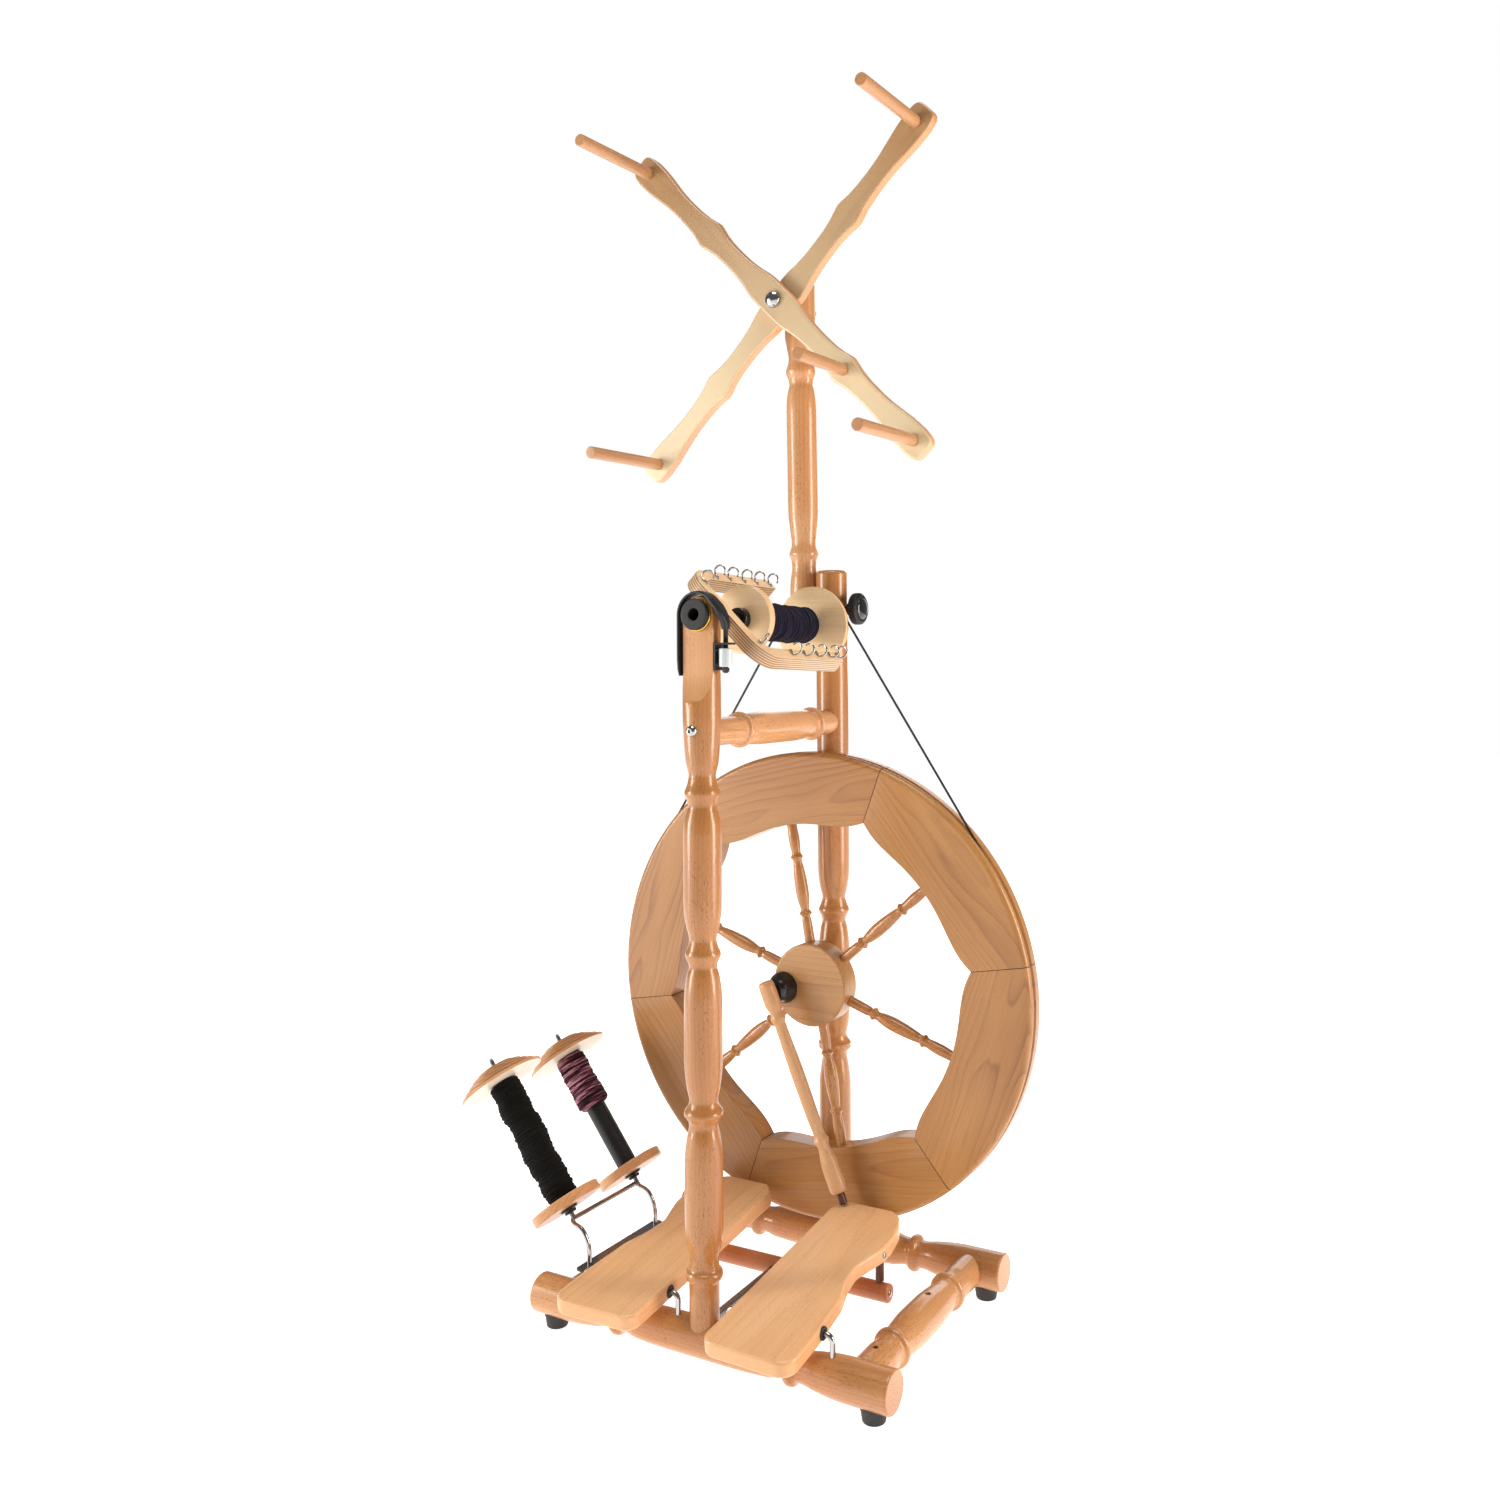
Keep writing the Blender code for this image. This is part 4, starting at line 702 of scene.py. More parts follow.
def shaft_mid(R):
    return [(R, 136.0), (R, 196.0), (R - 0.9, 207.0), (R - 2.4, 217.0), (13.7, 227.5), (15.2, 232.4), (18.1, 236.2),
            (18.5 * R / 18.2, 238.6), (18.0, 241.0), (15.2, 244.6), (13.4, 250.0), (15.6, 262.0), (R - 0.6, 277.0), (R, 290.0),
            (R, 342.0), (R - 0.8, 354.0), (R - 2.6, 367.0), (13.2, 376.0), (14.8, 381.2), (16.6, 385.0), (17.1, 387.0), (16.6, 389.2),
            (14.8, 393.0), (13.0, 401.0), (15.4, 412.0), (R - 0.4, 426.0)]


def rail_saddle(p, R=MID_R):
    return RAIL_Z + sqrt(max(0.0, R ** 2 - p[1] ** 2))


front_profile = LOWER + shaft_mid(POST_R) + [
    (POST_R, 436.0), (POST_R, 500.0), (17.4, 511.0), (15.2, 520.0), (13.6, 526.0), (14.6, 531.4), (16.4, 535.6), (17.1, 538.6),
    (16.4, 541.6), (14.4, 546.4), (12.9, 555.0), (15.6, 568.0), (17.4, 590.0), (POST_R, 612.0), (POST_R, FLYER_Z)]
fp = curve_prof(front_profile, 2.0)
fp += [(POST_R * cos(radians(a)), FLYER_Z + POST_R * sin(radians(a))) for a in (12, 24, 36, 48, 60, 72, 82)] + [(0.0, FLYER_Z + POST_R)]
post_wood = beech("front_post_wood", 12.0, 'Z', pith=(0.028, 0.022), ring_amt=0.34, tone=0.5)
flat_wood = wood("front_flat_wood", lin(200, 142, 92), lin(222, 176, 128), lin(150, 94, 50), axis='Z', seed=12.0, rings=250, ring_amt=0.3, flecks=0.55,
                 pith=(0.028, 0.022), tone=0.7, rough=0.42, coat=0.1)
post = finish_mesh("front_post_turned", lathe(fp, 64, 'Z', saddle0=rail_saddle), [post_wood], place(), "stand", ["front_post"], 32)
run = [(FLAT_Y, 656.0)] + [(FLAT_Y - (50.0 - sqrt(50.0 ** 2 - h * h)), 656.0 - h) for h in range(2, 42, 2)]
flat = [(FLAT_Y, 760.0)] + run + [(-60.0, run[-1][1]), (-60.0, 760.0)]
bmc = bmesh.new()
lo = [bmc.verts.new((-30, a, b)) for a, b in flat]
hi = [bmc.verts.new((30, a, b)) for a, b in flat]
for i in range(len(flat)):
    j = (i + 1) % len(flat)
    bmc.faces.new((lo[i], lo[j], hi[j], hi[i]))
bmc.faces.new(lo)
bmc.faces.new(hi)
boolean(post, bmc, place())
boolean(post, lathe([(0, -40), (12.3, -40), (12.3, 40), (0, 40)], 48, 'Y'), place((0, 0, DROP_Z), (-FLYER_DROP, 0, 0)))
# the planed face and its scooped foot keep a crisp border and a paler, drier cut
post.data.materials.append(flat_wood)
owners = {}
for p_ in post.data.polygons:
    if abs(p_.normal.x) < 0.02 and p_.normal.y < -0.5 and p_.center.z > 0.626 and hypot(p_.center.x, p_.center.y) < (POST_R - 0.02) * MM:
        p_.material_index = 1
    for l_ in p_.loop_indices:
        owners.setdefault(post.data.loops[l_].edge_index, []).append(p_.material_index)
for e_, ms_ in owners.items():
    if len(set(ms_)) == 2:
        post.data.edges[e_].use_edge_sharp = True
weigh_normals(post.data)

rear_profile = LOWER + shaft_mid(REAR_POST_R) + [(REAR_POST_R, 440.0), (REAR_POST_R, REAR_POST_TOP - 5.0)]
rp = curve_prof(rear_profile, 2.4)
rp += corner(REAR_POST_R, 700, REAR_POST_R, REAR_POST_TOP, 0, REAR_POST_TOP, 4.2, 6) + [(0, REAR_POST_TOP)]
finish_mesh("rear_post_turned", lathe(rp, 56, 'Z', saddle0=rail_saddle), beech("rear_post_wood", 21.0, 'Z', pith=(0.03, -0.02), tone=0.35),
            place((0, REAR_Y, 0)), "stand", ["rear_post"], 32)

top_profile = [(13.4, 8.0), (13.4, 30.0), (13.6, 50.0)] + bead(64.5, 17.8, 13.8, 3.4)[1:-1] \
    + [(13.9, 71.5), (15.2, 79.0), (TOP_RAIL_R, 108.0), (TOP_RAIL_R, 164.0), (15.2, 194.0), (13.9, 201.5)] \
    + bead(208.5, 17.8, 13.8, 3.4)[1:-1] + [(13.6, 222.0), (13.4, 236.0), (13.4, 250.0)]
# the top rail gets a paler copy of the beech: a painted highlight for the gloss it catches
finish_mesh("top_rail_turned", lathe(curve_prof(top_profile, 2.0), 56, 'Y',
            saddle0=lambda p: sqrt(max(0.0, (POST_R - 0.5) ** 2 - p[0] ** 2)),
            saddle1=lambda p: REAR_Y - sqrt(max(0.0, (REAR_POST_R + 0.1) ** 2 - p[0] ** 2))),
            beech("top_rail_wood", 31.0, 'Y', painted_light_lift=1.38, flecks=0.75, tone=0.5), place((0, 0, TOP_RAIL_Z)), "stand", ["top_rail"], 34)

# dome-head socket screw with a hexagonal recess
bm = lathe([(5.5, 0.9), (5.5, 0.1), (5.2, -1.0), (4.4, -2.1), (3.2, -2.9), (2.35, -3.1)], 36, 'Y')
top = max((f for f in bm.faces if len(f.verts) > 4), key=lambda f: -f.calc_center_median().y)
bmesh.ops.delete(bm, geom=[top], context='FACES_ONLY')
ring = [v for v in bm.verts if abs(v.co.y + 3.1) < 1e-4]
ring.sort(key=lambda v: atan2(v.co.x, v.co.z))
hexr = []
for i, v in enumerate(ring):
    a = atan2(v.co.x, v.co.z)
    k = (a % (pi / 3)) - pi / 6
    rad_ = 1.95 * cos(pi / 6) / cos(k)
    hexr.append((rad_ * sin(a), rad_ * cos(a)))
m0 = [bm.verts.new((x, -3.0, z)) for x, z in hexr]
m1 = [bm.verts.new((x, -1.3, z)) for x, z in hexr]
for i in range(len(ring)):
    j = (i + 1) % len(ring)
    bm.faces.new((ring[i], ring[j], m0[j], m0[i]))
    bm.faces.new((m0[i], m0[j], m1[j], m1[i]))
bm.faces.new(m1)
finish_mesh("post_screw_steel", bm, CHROME, place((0, -17.9, 598.0)), "stand", ["post_screw"], 30)

# ---------------------------------------------------------------- orifice, bearing, flyer shaft
FLY = place((0, 0, DROP_Z), (-FLYER_DROP, 0, 0))
bp = poly_prof([(9.9, -9.4), (16.0, -9.4), (16.0, FLAT_Y - 0.5), (12.4, FLAT_Y - 0.5), (12.4, 17.0), (9.9, 17.0)],
               [0.2, 0.7, 0.3, 0, 0.3, 0.3], closed=True)
finish_mesh("orifice_bearing_brass", lathe(bp, 64, 'Y', closed=True), BRASS, FLY, "stand", ["orifice_bearing"])
sp_ = poly_prof([(0, 15.5), (4.6, 15.5), (5.8, -13.8), (ORIFICE_R, -13.8), (ORIFICE_R, -9.75), (9.4, -9.75), (9.4, 25.0), (SHAFT_R, 29.0),
                 (SHAFT_R, 262.0), (0, 263.0)], [0, 0.5, 0.9, 1.2, 0.3, 0, 0.5, 0.5, 0.6, 0], n=5)
finish_mesh("flyer_shaft_black", lathe(sp_, 64, 'Y'), BLACK, FLY, "flyer", ["flyer_shaft"], 28)

# flyer board: veneered birch with its plies showing on every edge
FB = place((0, 0, 0), (0, FLYER_TILT, 0), FLY)
U = [(-FLYER_OUT, FLYER_FRONT), (FLYER_OUT, FLYER_FRONT), (FLYER_OUT, FLYER_BACK), (FLYER_IN + 1, FLYER_BACK),
     (FLYER_IN, FLYER_BACK - 6), (FLYER_IN, FLYER_FRONT + 14), (-FLYER_IN, FLYER_FRONT + 14),
     (-FLYER_IN, FLYER_BACK - 6), (-FLYER_IN - 1, FLYER_BACK), (-FLYER_OUT, FLYER_BACK)]
RU = [28, 28, 2.5, 1, 1, 15, 15, 1, 1, 2.5]
ply = wood("flyer_ply", lin(226, 190, 146), lin(240, 214, 178), lin(196, 150, 104), axis='Y', seed=3, rings=150, ring_amt=0.2, flecks=0.12, pith=(0.03, 0.06),
           figure=0.7, plies=('Z', -FLYER_T / 2 * MM, FLYER_T / 2 * MM, 6.0, lin(92, 58, 34), 1.0), rough=0.36)
finish_mesh("flyer_board", board(rounded(U, RU, 9), -FLYER_T / 2, FLYER_T / 2, 'XY', edge=0.9, n=3), ply, FB, "flyer", ["flyer_frame"],
            40)
# wire cup hooks: a threaded stem, then an open ring square to the arm; the first pair stands askew on the front bar
for side, row in ((-1, EYE_LEFT), (1, EYE_RIGHT)):
    for k, (x0, y, turn) in enumerate([(45.0, 43.5, radians(-45.0 * side))] + [(57.8, q, 0.0) for q in row]):
        rr, c0 = 5.8, FLYER_T / 2 + 6.9
        x0 *= side
        ct, st = cos(turn), sin(turn)
        pts = [(x0 - side * 4.0 * ct, y - side * 4.0 * st, FLYER_T / 2 - 3.0), (x0 - side * 4.0 * ct, y - side * 4.0 * st, FLYER_T / 2 + 1.0)]
        for j in range(17):
            a = radians(-38 + 19.2 * j) * side
            e, q = rr * sin(a), 0.17 * j
            pts.append((x0 + e * ct - q * st, y + e * st + q * ct, c0 - rr * cos(a)))
        finish_mesh("cup_hook_%s_%d" % ("left" if side < 0 else "right", k + 1), tube(smooth_path(pts, 2), 0.92, 12), CHROME, FB, "flyer", (),
                    60)

# ---------------------------------------------------------------- bobbin
BORE = SHAFT_R + 0.6
core = poly_prof([(BORE, 61.0), (11.2, 61.0), (11.2, 69.8), (8.0, 69.8), (8.0, 234.0), (BORE, 234.0)], [0.3, 1.4, 0, 0, 0.4, 0], closed=True)
finish_mesh("bobbin_core_black", lathe(core, 48, 'Y', closed=True), BLACK_GLOSS, FLY, "bobbin", ["bobbin_core"])
bobwood = wood("bobbin_flange_wood", lin(232, 198, 150), lin(242, 218, 180), lin(190, 142, 92), axis='X', seed=5, rings=200, ring_amt=0.34,
               flecks=0.25, figure=1.3, pith=(0.008, -0.13), rough=0.33, edge=('Y', lin(222, 168, 118), 0.65))
y0, y1 = BOB_FLANGE_Y, BOB_FLANGE_Y + BOB_FLANGE_T
fl = poly_prof([(8.2, y0), (BOB_FLANGE_R, y0), (BOB_FLANGE_R, y1), (8.2, y1)], [0.2, 2.6, 1.2, 0.2], closed=True, n=6)
finish_mesh("bobbin_flange_disc", lathe(fl, 80, 'Y', closed=True), bobwood, FLY, "bobbin", ["bobbin_flange"], 35)
wh = poly_prof([(8.2, WHORL_Y), (WHORL_R, WHORL_Y), (WHORL_R, WHORL_Y + 3.4), (WHORL_GROOVE_R, BELT_Y - 1.2),
                (WHORL_GROOVE_R, BELT_Y + 1.2), (WHORL_R - 2.6, WHORL_Y + 10.0), (WHORL_R - 3.6, WHORL_Y + 12.0), (8.2, WHORL_Y + 12.0)],
               [0.2, 1.3, 0.8, 0.6, 0.6, 0.6, 0.6, 0.2], closed=True, n=4)
finish_mesh("bobbin_whorl_disc", lathe(wh, 96, 'Y', closed=True), bobwood, FLY, "bobbin", ["bobbin_whorl"], 35)


def yarn_mat(name, cols, axis='Z', along=330.0, across=26.0):
    """Plied handspun yarn: colour changes along the wound length, fibres and halo of light."""
    N = Nodes(name)
    n = N.noise(N.mapping(scale=tuple(along if c == axis else across for c in 'XYZ')), 1.0, 3.0, 0.7, 0.25)
    base = N.ramp(n, [(0.30 + 0.40 * i / max(1, len(cols) - 1), c) for i, c in enumerate(cols)])
    f = N.noise(N.mapping(), 1800.0, 3.0, 0.7)
    dk = (cols[0][0] * 0.3, cols[0][1] * 0.3, cols[0][2] * 0.3, 1)
    N.put(N.b, "Base_Color", N.mix(N.ramp(f, [(0.35, 0.55), (0.62, 0.0)]), base, dk))
    N.bump(f, 0.8, 0.0006)
    N.set(Roughness=0.95, Sheen_Weight=0.06, Sheen_Roughness=0.4)
    N.b.inputs["Specular IOR Level"].default_value = 0.15
    return N.m


def winding(name, h0, h1, radius, pitch, rr, axis, seed, layers=2, core=10.0, bulge=0.0, lump=0.8):
    """Handspun yarn wound on a core: several passes of strand at slightly
    different slants over a body of wound yarn, thick and thin, with hollows."""
    rnd = random.Random(seed)
    parts = []
    f = AXES[axis]
    L = h1 - h0

    def skin(h, a):
        e = min(1.0, (h - h0) / 4.0, (h1 - h) / 4.0)
        w = lump * (noise.noise(Vector((h * 0.09 + seed, cos(a) * 0.8, sin(a) * 0.8))) + 0.55 * noise.noise(Vector((h * 0.33, seed * 3.0, cos(a + 1.0) * 0.5))))
        return radius - (1 - max(0.0, e)) * 2.6 + w + bulge * sin(pi * (h - h0) / L)
    prof = [(radius - 2.2, h0 + L * k / 44) for k in range(45)]
    body = lathe([(core, h0)] + prof + [(core, h1)], 40, axis, closed=True)
    for v in body.verts:
        h, x, y = {'Z': (v.co.z, v.co.x, v.co.y), 'Y': (v.co.y, v.co.z, v.co.x)}[axis]
        r0 = hypot(x, y)
        if r0 > core + 1.0:
            a = atan2(y, x)
            v.co = Vector(f(max(core + 0.6, skin(h, a) - 1.5), h, a))
    parts.append(body)
    for ly in range(layers):
        turns = L / pitch
        n = int(turns * 24)
        pts, radii = [], []
        off = rnd.random() * 6.28
        slant = (0.0, 1.5, -1.9)[ly % 3]
        for i in range(n + 1):
            t = i / n
            a = off + 2 * pi * turns * t
            hh = h0 + rr + (L - 2 * rr) * t + slant * sin(a * 0.97 + 5 * noise.noise(Vector((t * 9, seed, ly)))) + 1.5 * noise.noise(Vector((i * 0.06, seed, ly * 9.1)))
            hh = min(max(hh, h0 + rr), h1 - rr)
            R = skin(hh, a) - 0.75 * rr + 0.5 * noise.noise(Vector((i * 0.21, seed * 2.0, ly * 3.0)))
            pts.append(f(R, hh, a))
            radii.append(rr * (1 + 0.5 * noise.noise(Vector((i * 0.09, 4.2, seed + ly)))))
        parts.append(tube(pts, rr, 7, radii=radii))
    return join(*parts)


NAVY = yarn_mat("navy_yarn_look", [lin(12, 12, 16), lin(24, 26, 46), lin(14, 15, 20), lin(44, 30, 62), lin(12, 16, 22), lin(20, 62, 104)], 'Y')
finish_mesh("bobbin_yarn_wound", winding("y", y1 + 0.4, WHORL_Y - 13.0, YARN_R - 0.4, 3.9, 1.5, 'Y', 3, 3, 8.4, 0.0, 1.5), NAVY, FLY, "bobbin",
            ["bobbin_yarn"], 60)

# ---------------------------------------------------------------- brake
BR, SY = POST_R + 2.6, -3.6
def oval(a, b, n=20, p=3.2):
    out = []
    for k in range(n):
        t = 2 * pi * k / n
        c, s = cos(t), sin(t)
        out.append((a * (abs(c) ** (2 / p)) * (1 if c >= 0 else -1), b * (abs(s) ** (2 / p)) * (1 if s >= 0 else -1)))
    return out


def swept(path, sizes, up):
    """A strap of changing section: half-width along up and half-thickness at each point."""
    pts = [Vector(p) for p in path]
    bm = bmesh.new()
    rings = []
    for i, p in enumerate(pts):
        t = (pts[min(i + 1, len(pts) - 1)] - pts[max(i - 1, 0)]).normalized()
        n = (Vector(up) - t * Vector(up).dot(t)).normalized()
        b = t.cross(n)
        rings.append([bm.verts.new(p + n * x + b * y) for x, y in oval(sizes[i][0], sizes[i][1], 24, 4.5)])
    for A, B in zip(rings, rings[1:]):
        for k in range(24):
            bm.faces.new((A[k], A[(k + 1) % 24], B[(k + 1) % 24], B[k]))
    bm.faces.new(rings[0])
    bm.faces.new(rings[-1])
    return bm


strap_path = [(-BR + 1.0, SY, 650.0), (-BR + 0.3, SY, 656.0), (-BR, SY, 665.0), (-BR, SY, 680.0), (-BR, SY, 695.0), (-BR, SY, 704.0)]
strap_size = [(5.0, 1.1), (6.0, 1.5), (6.5, 1.6), (6.5, 1.6), (6.5, 1.6), (6.5, 1.6)]
for q in range(176, 26, -10):
    strap_path.append((BR * cos(radians(q)), SY, FLYER_Z + BR * sin(radians(q))))
    strap_size.append((6.5 + (0.8 * (90 - q) / 60 if q < 90 else 0), 1.6 + (1.1 * (90 - q) / 60 if q < 90 else 0)))
strap_path += [(21.6, SY * 0.8, 714.6), (24.2, SY * 0.6, 709.4), (26.2, SY * 0.3, 704.2), (27.2, 0, 699.0), (27.4, 0, 693.6)]
strap_size += [(7.4, 2.9), (7.0, 3.2), (5.6, 3.4), (4.4, 3.4), (3.6, 3.0)]
finish_mesh("brake_strap_black", swept(strap_path, strap_size, (0, 1, 0)), BLACK, place(), "stand", ["brake_strap"], 45)
L_out = [(18.6, 655.0), (20.2, 655.0), (20.2, 679.0), (34.0, 679.0), (34.0, 681.0), (18.6, 681.0)]
finish_mesh("brake_bracket_black", board(L_out, -7, 7, 'XZ', 0.4, 2), BLACK, place(), "stand", ["brake_bracket"], 30)
for i, z in enumerate((661.0, 674.5)):
    finish_mesh("bracket_rivet_%d" % (i + 1), lathe([(0, 21.3), (1.4, 21.2), (2.1, 20.6), (2.1, 19.6), (0, 19.6)], 20, 'X'), BLACK_GLOSS,
                place((0, -4.4, z)), "stand", ())
KN = place((27.4, 0, 658.0))
kn = lathe(poly_prof([(0, 0.2), (6.5, 0.2), (6.5, 17.8), (0, 17.8)], [0, 1.3, 1.3, 0], n=5), 72, 'Z')
for v in kn.verts:
    rr = hypot(v.co.x, v.co.y)
    if rr > 6.2:
        a = atan2(v.co.y, v.co.x)
        s = 1 - 0.016 * (0.5 + 0.5 * cos(18 * a))
        v.co.x *= s
        v.co.y *= s
finish_mesh("brake_knob_white", kn, WHITE, KN, "brake_screw", ["brake_knob"], 45)
th = [(0, -5.6), (1.9, -5.6)]
for k in range(0, 84):
    th.append((2.45 if k % 2 else 2.2, -5.2 + 0.5 * k))
th = [p for p in th if p[1] < 36.6] + [(2.3, 37.0), (0, 37.0)]
finish_mesh("brake_bolt_nut", lathe([(0, -4.6), (3.7, -4.4), (3.9, -3.9), (3.9, -1.0), (3.5, -0.6), (0, -0.5)], 6, 'Z'), BLACK_GLOSS, KN, "brake_screw", (), 30)
finish_mesh("brake_bolt_thread", lathe(th, 20, 'Z'), BLACK_GLOSS, KN, "brake_screw", (), 50)

# ---------------------------------------------------------------- drive wheel
WH = place((0, 0, WHEEL_Z))


def rim_inner(t):
    a = abs(t)
    if a < 0.30:
        return RIM_INNER
    s = (a - 0.30) / 0.70
    return RIM_INNER + (RIM_CORNER - RIM_INNER) * (0.25 * s * s + 0.75 * s ** 4.2)


def rim_segment():
    bm = bmesh.new()
    y0, y1 = RIM_Y0, RIM_Y0 + RIM_T
    n = 30
    ts = [-1 + 2 * k / n for k in range(n + 1)]
    ts = [-1, -0.9962] + ts[1:-1] + [0.9962, 1]
    rings = []
    for k, t in enumerate(ts):
        a = radians(30.0) * t
        ri = rim_inner(t)
        end = k in (0, len(ts) - 1)
        c = 0.3 if end else 0.0          # small chamfer at the glued joint
        sec = [(ri + 1.2 + c, y0 + c), (WHEEL_R - 6.0, y0 + c)]
        for q in (0.25, 0.5, 0.75, 1.0):
            sec.append((WHEEL_R - 6.0 + 6.0 * sin(q * pi / 2) - c, y0 + 6.0 - 6.0 * cos(q * pi / 2) + c * (1 - q)))
        sec += [(WHEEL_R - c, BELT_Y - 3.6), (WHEEL_R - 0.7 - c, BELT_Y - 3.0), (GROOVE_R, BELT_Y - 1.2), (GROOVE_R, BELT_Y + 1.2), (WHEEL_R - 0.7 - c, BELT_Y + 3.0),
                (WHEEL_R - c, BELT_Y + 3.6)]
        for q in (0.0, 0.5, 1.0):
            sec.append((WHEEL_R - 3.0 + 3.0 * cos(q * pi / 2) - c, y1 - 3.0 + 3.0 * sin(q * pi / 2) - c * q))
        sec += [(ri + 1.2 + c, y1 - c), (ri + 0.35 + c, y1 - 0.35), (ri + c, y1 - 1.2), (ri + c, y0 + 1.2), (ri + 0.35 + c, y0 + 0.35)]
        push = -0.06 * (1 if t > 0 else -1) if end else 0.0
        ring = []
        for rr, y in sec:
            x, z = rr * sin(a), rr * cos(a)
            ring.append(bm.verts.new((x + push * cos(a), y, z - push * sin(a))))
        rings.append(ring)
    m = len(rings[0])
    for i, (A, B) in enumerate(zip(rings, rings[1:])):
        for k in range(m):
            l = (k + 1) % m
            fc = bm.faces.new((A[k], A[l], B[l], B[k]))
            if i in (0, len(rings) - 2):
                fc.material_index = 1
    for rg in (rings[0], rings[-1]):
        fc = bm.faces.new(rg)
        fc.material_index = 1
    return bm


spoke_len = RIM_INNER - HUB_R - 0.2
spoke = [(5.6, 0.0), (5.5, 0.10), (5.2, 0.185), (4.4, 0.212), (5.8, 0.226), (7.0, 0.24), (5.8, 0.254), (4.6, 0.272), (6.0, 0.33), (7.2, 0.43),
         (6.9, 0.52), (5.7, 0.63), (4.7, 0.69), (5.8, 0.705), (7.0, 0.72), (5.8, 0.735), (4.9, 0.752), (5.7, 0.82), (6.0, 0.88), (5.4, 0.96), (5.3, 1.0)]
spoke_prof = curve_prof([(a, s * spoke_len) for a, s in spoke], 1.6, 8)
for k in range(6):
    ang = RIM_PHASE + radians(30.0 + 60.0 * k)
    rm = wood("rim_wood_%d" % (k + 1), RMID, RLIGHT, RDARK, axis='X', seed=40 + 3.7 * k, rings=230.0, ring_amt=0.70, flecks=0.34, figure=1.9,
              pith=(-0.212 + 0.022 * (k % 3 - 1), -0.246 + 0.008 * (k % 2)), rough=0.34, coat=0.3, tone=0.6, fleck_col=lin(136, 88, 48))
    finish_mesh("rim_segment_%d_wood" % (k + 1), rim_segment(), [rm, GLUE_AND_SHADOW_LINE], place((0, 0, 0), (0, ang, 0), WH), "wheel",
                ["rim_segment_%d" % (k + 1)], 34)
    finish_mesh("spoke_%d_turned" % (k + 1), lathe(spoke_prof, 28, 'Z'), beech("spoke_wood_%d" % (k + 1), 50 + k, 'Z'),
                place((sin(ang) * (HUB_R + 0.1), SPOKE_Y, cos(ang) * (HUB_R + 0.1)), (0, ang, 0), WH), "wheel", ["spoke_%d" % (k + 1)], 32)

hubm = wood("hub_wood", lin(178, 128, 76), lin(198, 152, 100), lin(132, 82, 42), axis='X', seed=61, rings=260, ring_amt=0.75, flecks=0.4,
            pith=(0.012, -0.25), figure=1.2, rough=0.34)
hp = poly_prof([(0, HUB_Y0), (HUB_R, HUB_Y0), (HUB_R, HUB_Y0 + HUB_T), (6.5, HUB_Y0 + HUB_T), (6.5, HUB_Y0 + 8), (0, HUB_Y0 + 8)],
               [0, 2.4, 1.6, 0, 0, 0], n=6)
finish_mesh("hub_disc", lathe(hp, 96, 'Y'), hubm, WH, "wheel", ["hub"], 35)
CRK = place((CRANK_X, 0, CRANK_Z - WHEEL_Z), parent=WH)
ck = lathe(curve_prof([(7.0, 180.7), (10.4, 182.2), (12.4, 184.6), (14.0, 188.6), (15.6, 193.0), (16.8, 197.0), (17.0, 199.9)], 1.0, 6)
           + [(17.0, 200.1)], 64, 'Y')
for v in ck.verts:
    a = atan2(v.co.x, v.co.z)
    t = max(0.0, (199.0 - v.co.y) / 19.0)
    s = 1 - 0.10 * t * (0.5 + 0.5 * cos(4 * a))
    v.co.x *= s
    v.co.z *= s
finish_mesh("crank_knuckle_black", ck, BLACK_GLOSS, CRK, "wheel", ["crank_knuckle"], 40)
ap = poly_prof([(0, HUB_Y0 + 9), (6.0, HUB_Y0 + 9), (6.0, HUB_Y0 + HUB_T + 1.0), (9.5, HUB_Y0 + HUB_T + 1.0), (9.5, 239.6), (6.0, 239.6),
                (6.0, REAR_Y + REAR_POST_R + 0.6), (10.5, REAR_Y + REAR_POST_R + 0.6), (10.5, REAR_Y + REAR_POST_R + 6.0), (7.0, REAR_Y + REAR_POST_R + 9.0), (0, REAR_Y + REAR_POST_R + 9.4)],
               [0, 0, 0, 0.6, 0.6, 0, 0, 0.5, 1.2, 1.0, 0])
finish_mesh("axle_steel", lathe(ap, 48, 'Y'), STEEL, WH, "stand", ["axle"])

RW, RB = GROOVE_R + 0.4 + BELT_R, WHORL_GROOVE_R + 0.6 + BELT_R
DD = FLYER_Z - WHEEL_Z
lean = atan2(RW - RB, sqrt(DD * DD - (RW - RB) ** 2))
band = []
a0 = pi / 2 - lean
for i in range(161):
    a = a0 + (2 * pi - 2 * a0) * i / 160
    band.append((RW * sin(a), BELT_Y, WHEEL_Z + RW * cos(a)))
for i in range(29):
    a = -a0 + 2 * a0 * i / 28
    band.append((RB * sin(a), BELT_Y, FLYER_Z + RB * cos(a)))
finish_mesh("drive_band_cord", tube(band, BELT_R, 12, loop=True), BELT, place(), "stand", ["drive_band"], 60)

# ---------------------------------------------------------------- treadles


def treadle_outline(s):
    pts = [(37.0, -61.0), (131.0, -63.5), (129.5, -8.0), (124.5, 44.0), (116.0, 72.0), (113.0, 95.0),
           (119.0, 115.0), (124.0, 133.0), (124.5, 148.0), (121.0, 172.0), (112.0, 194.0), (101.0, 201.5),
           (50.0, 201.5), (TREADLE_IN, 185.0)]
    rad = [14, 16, 60, 60, 40, 30, 40, 40, 30, 40, 12, 8, 6, 10]
    return [(s * x, y) for x, y in rounded(pts, rad, 6)]


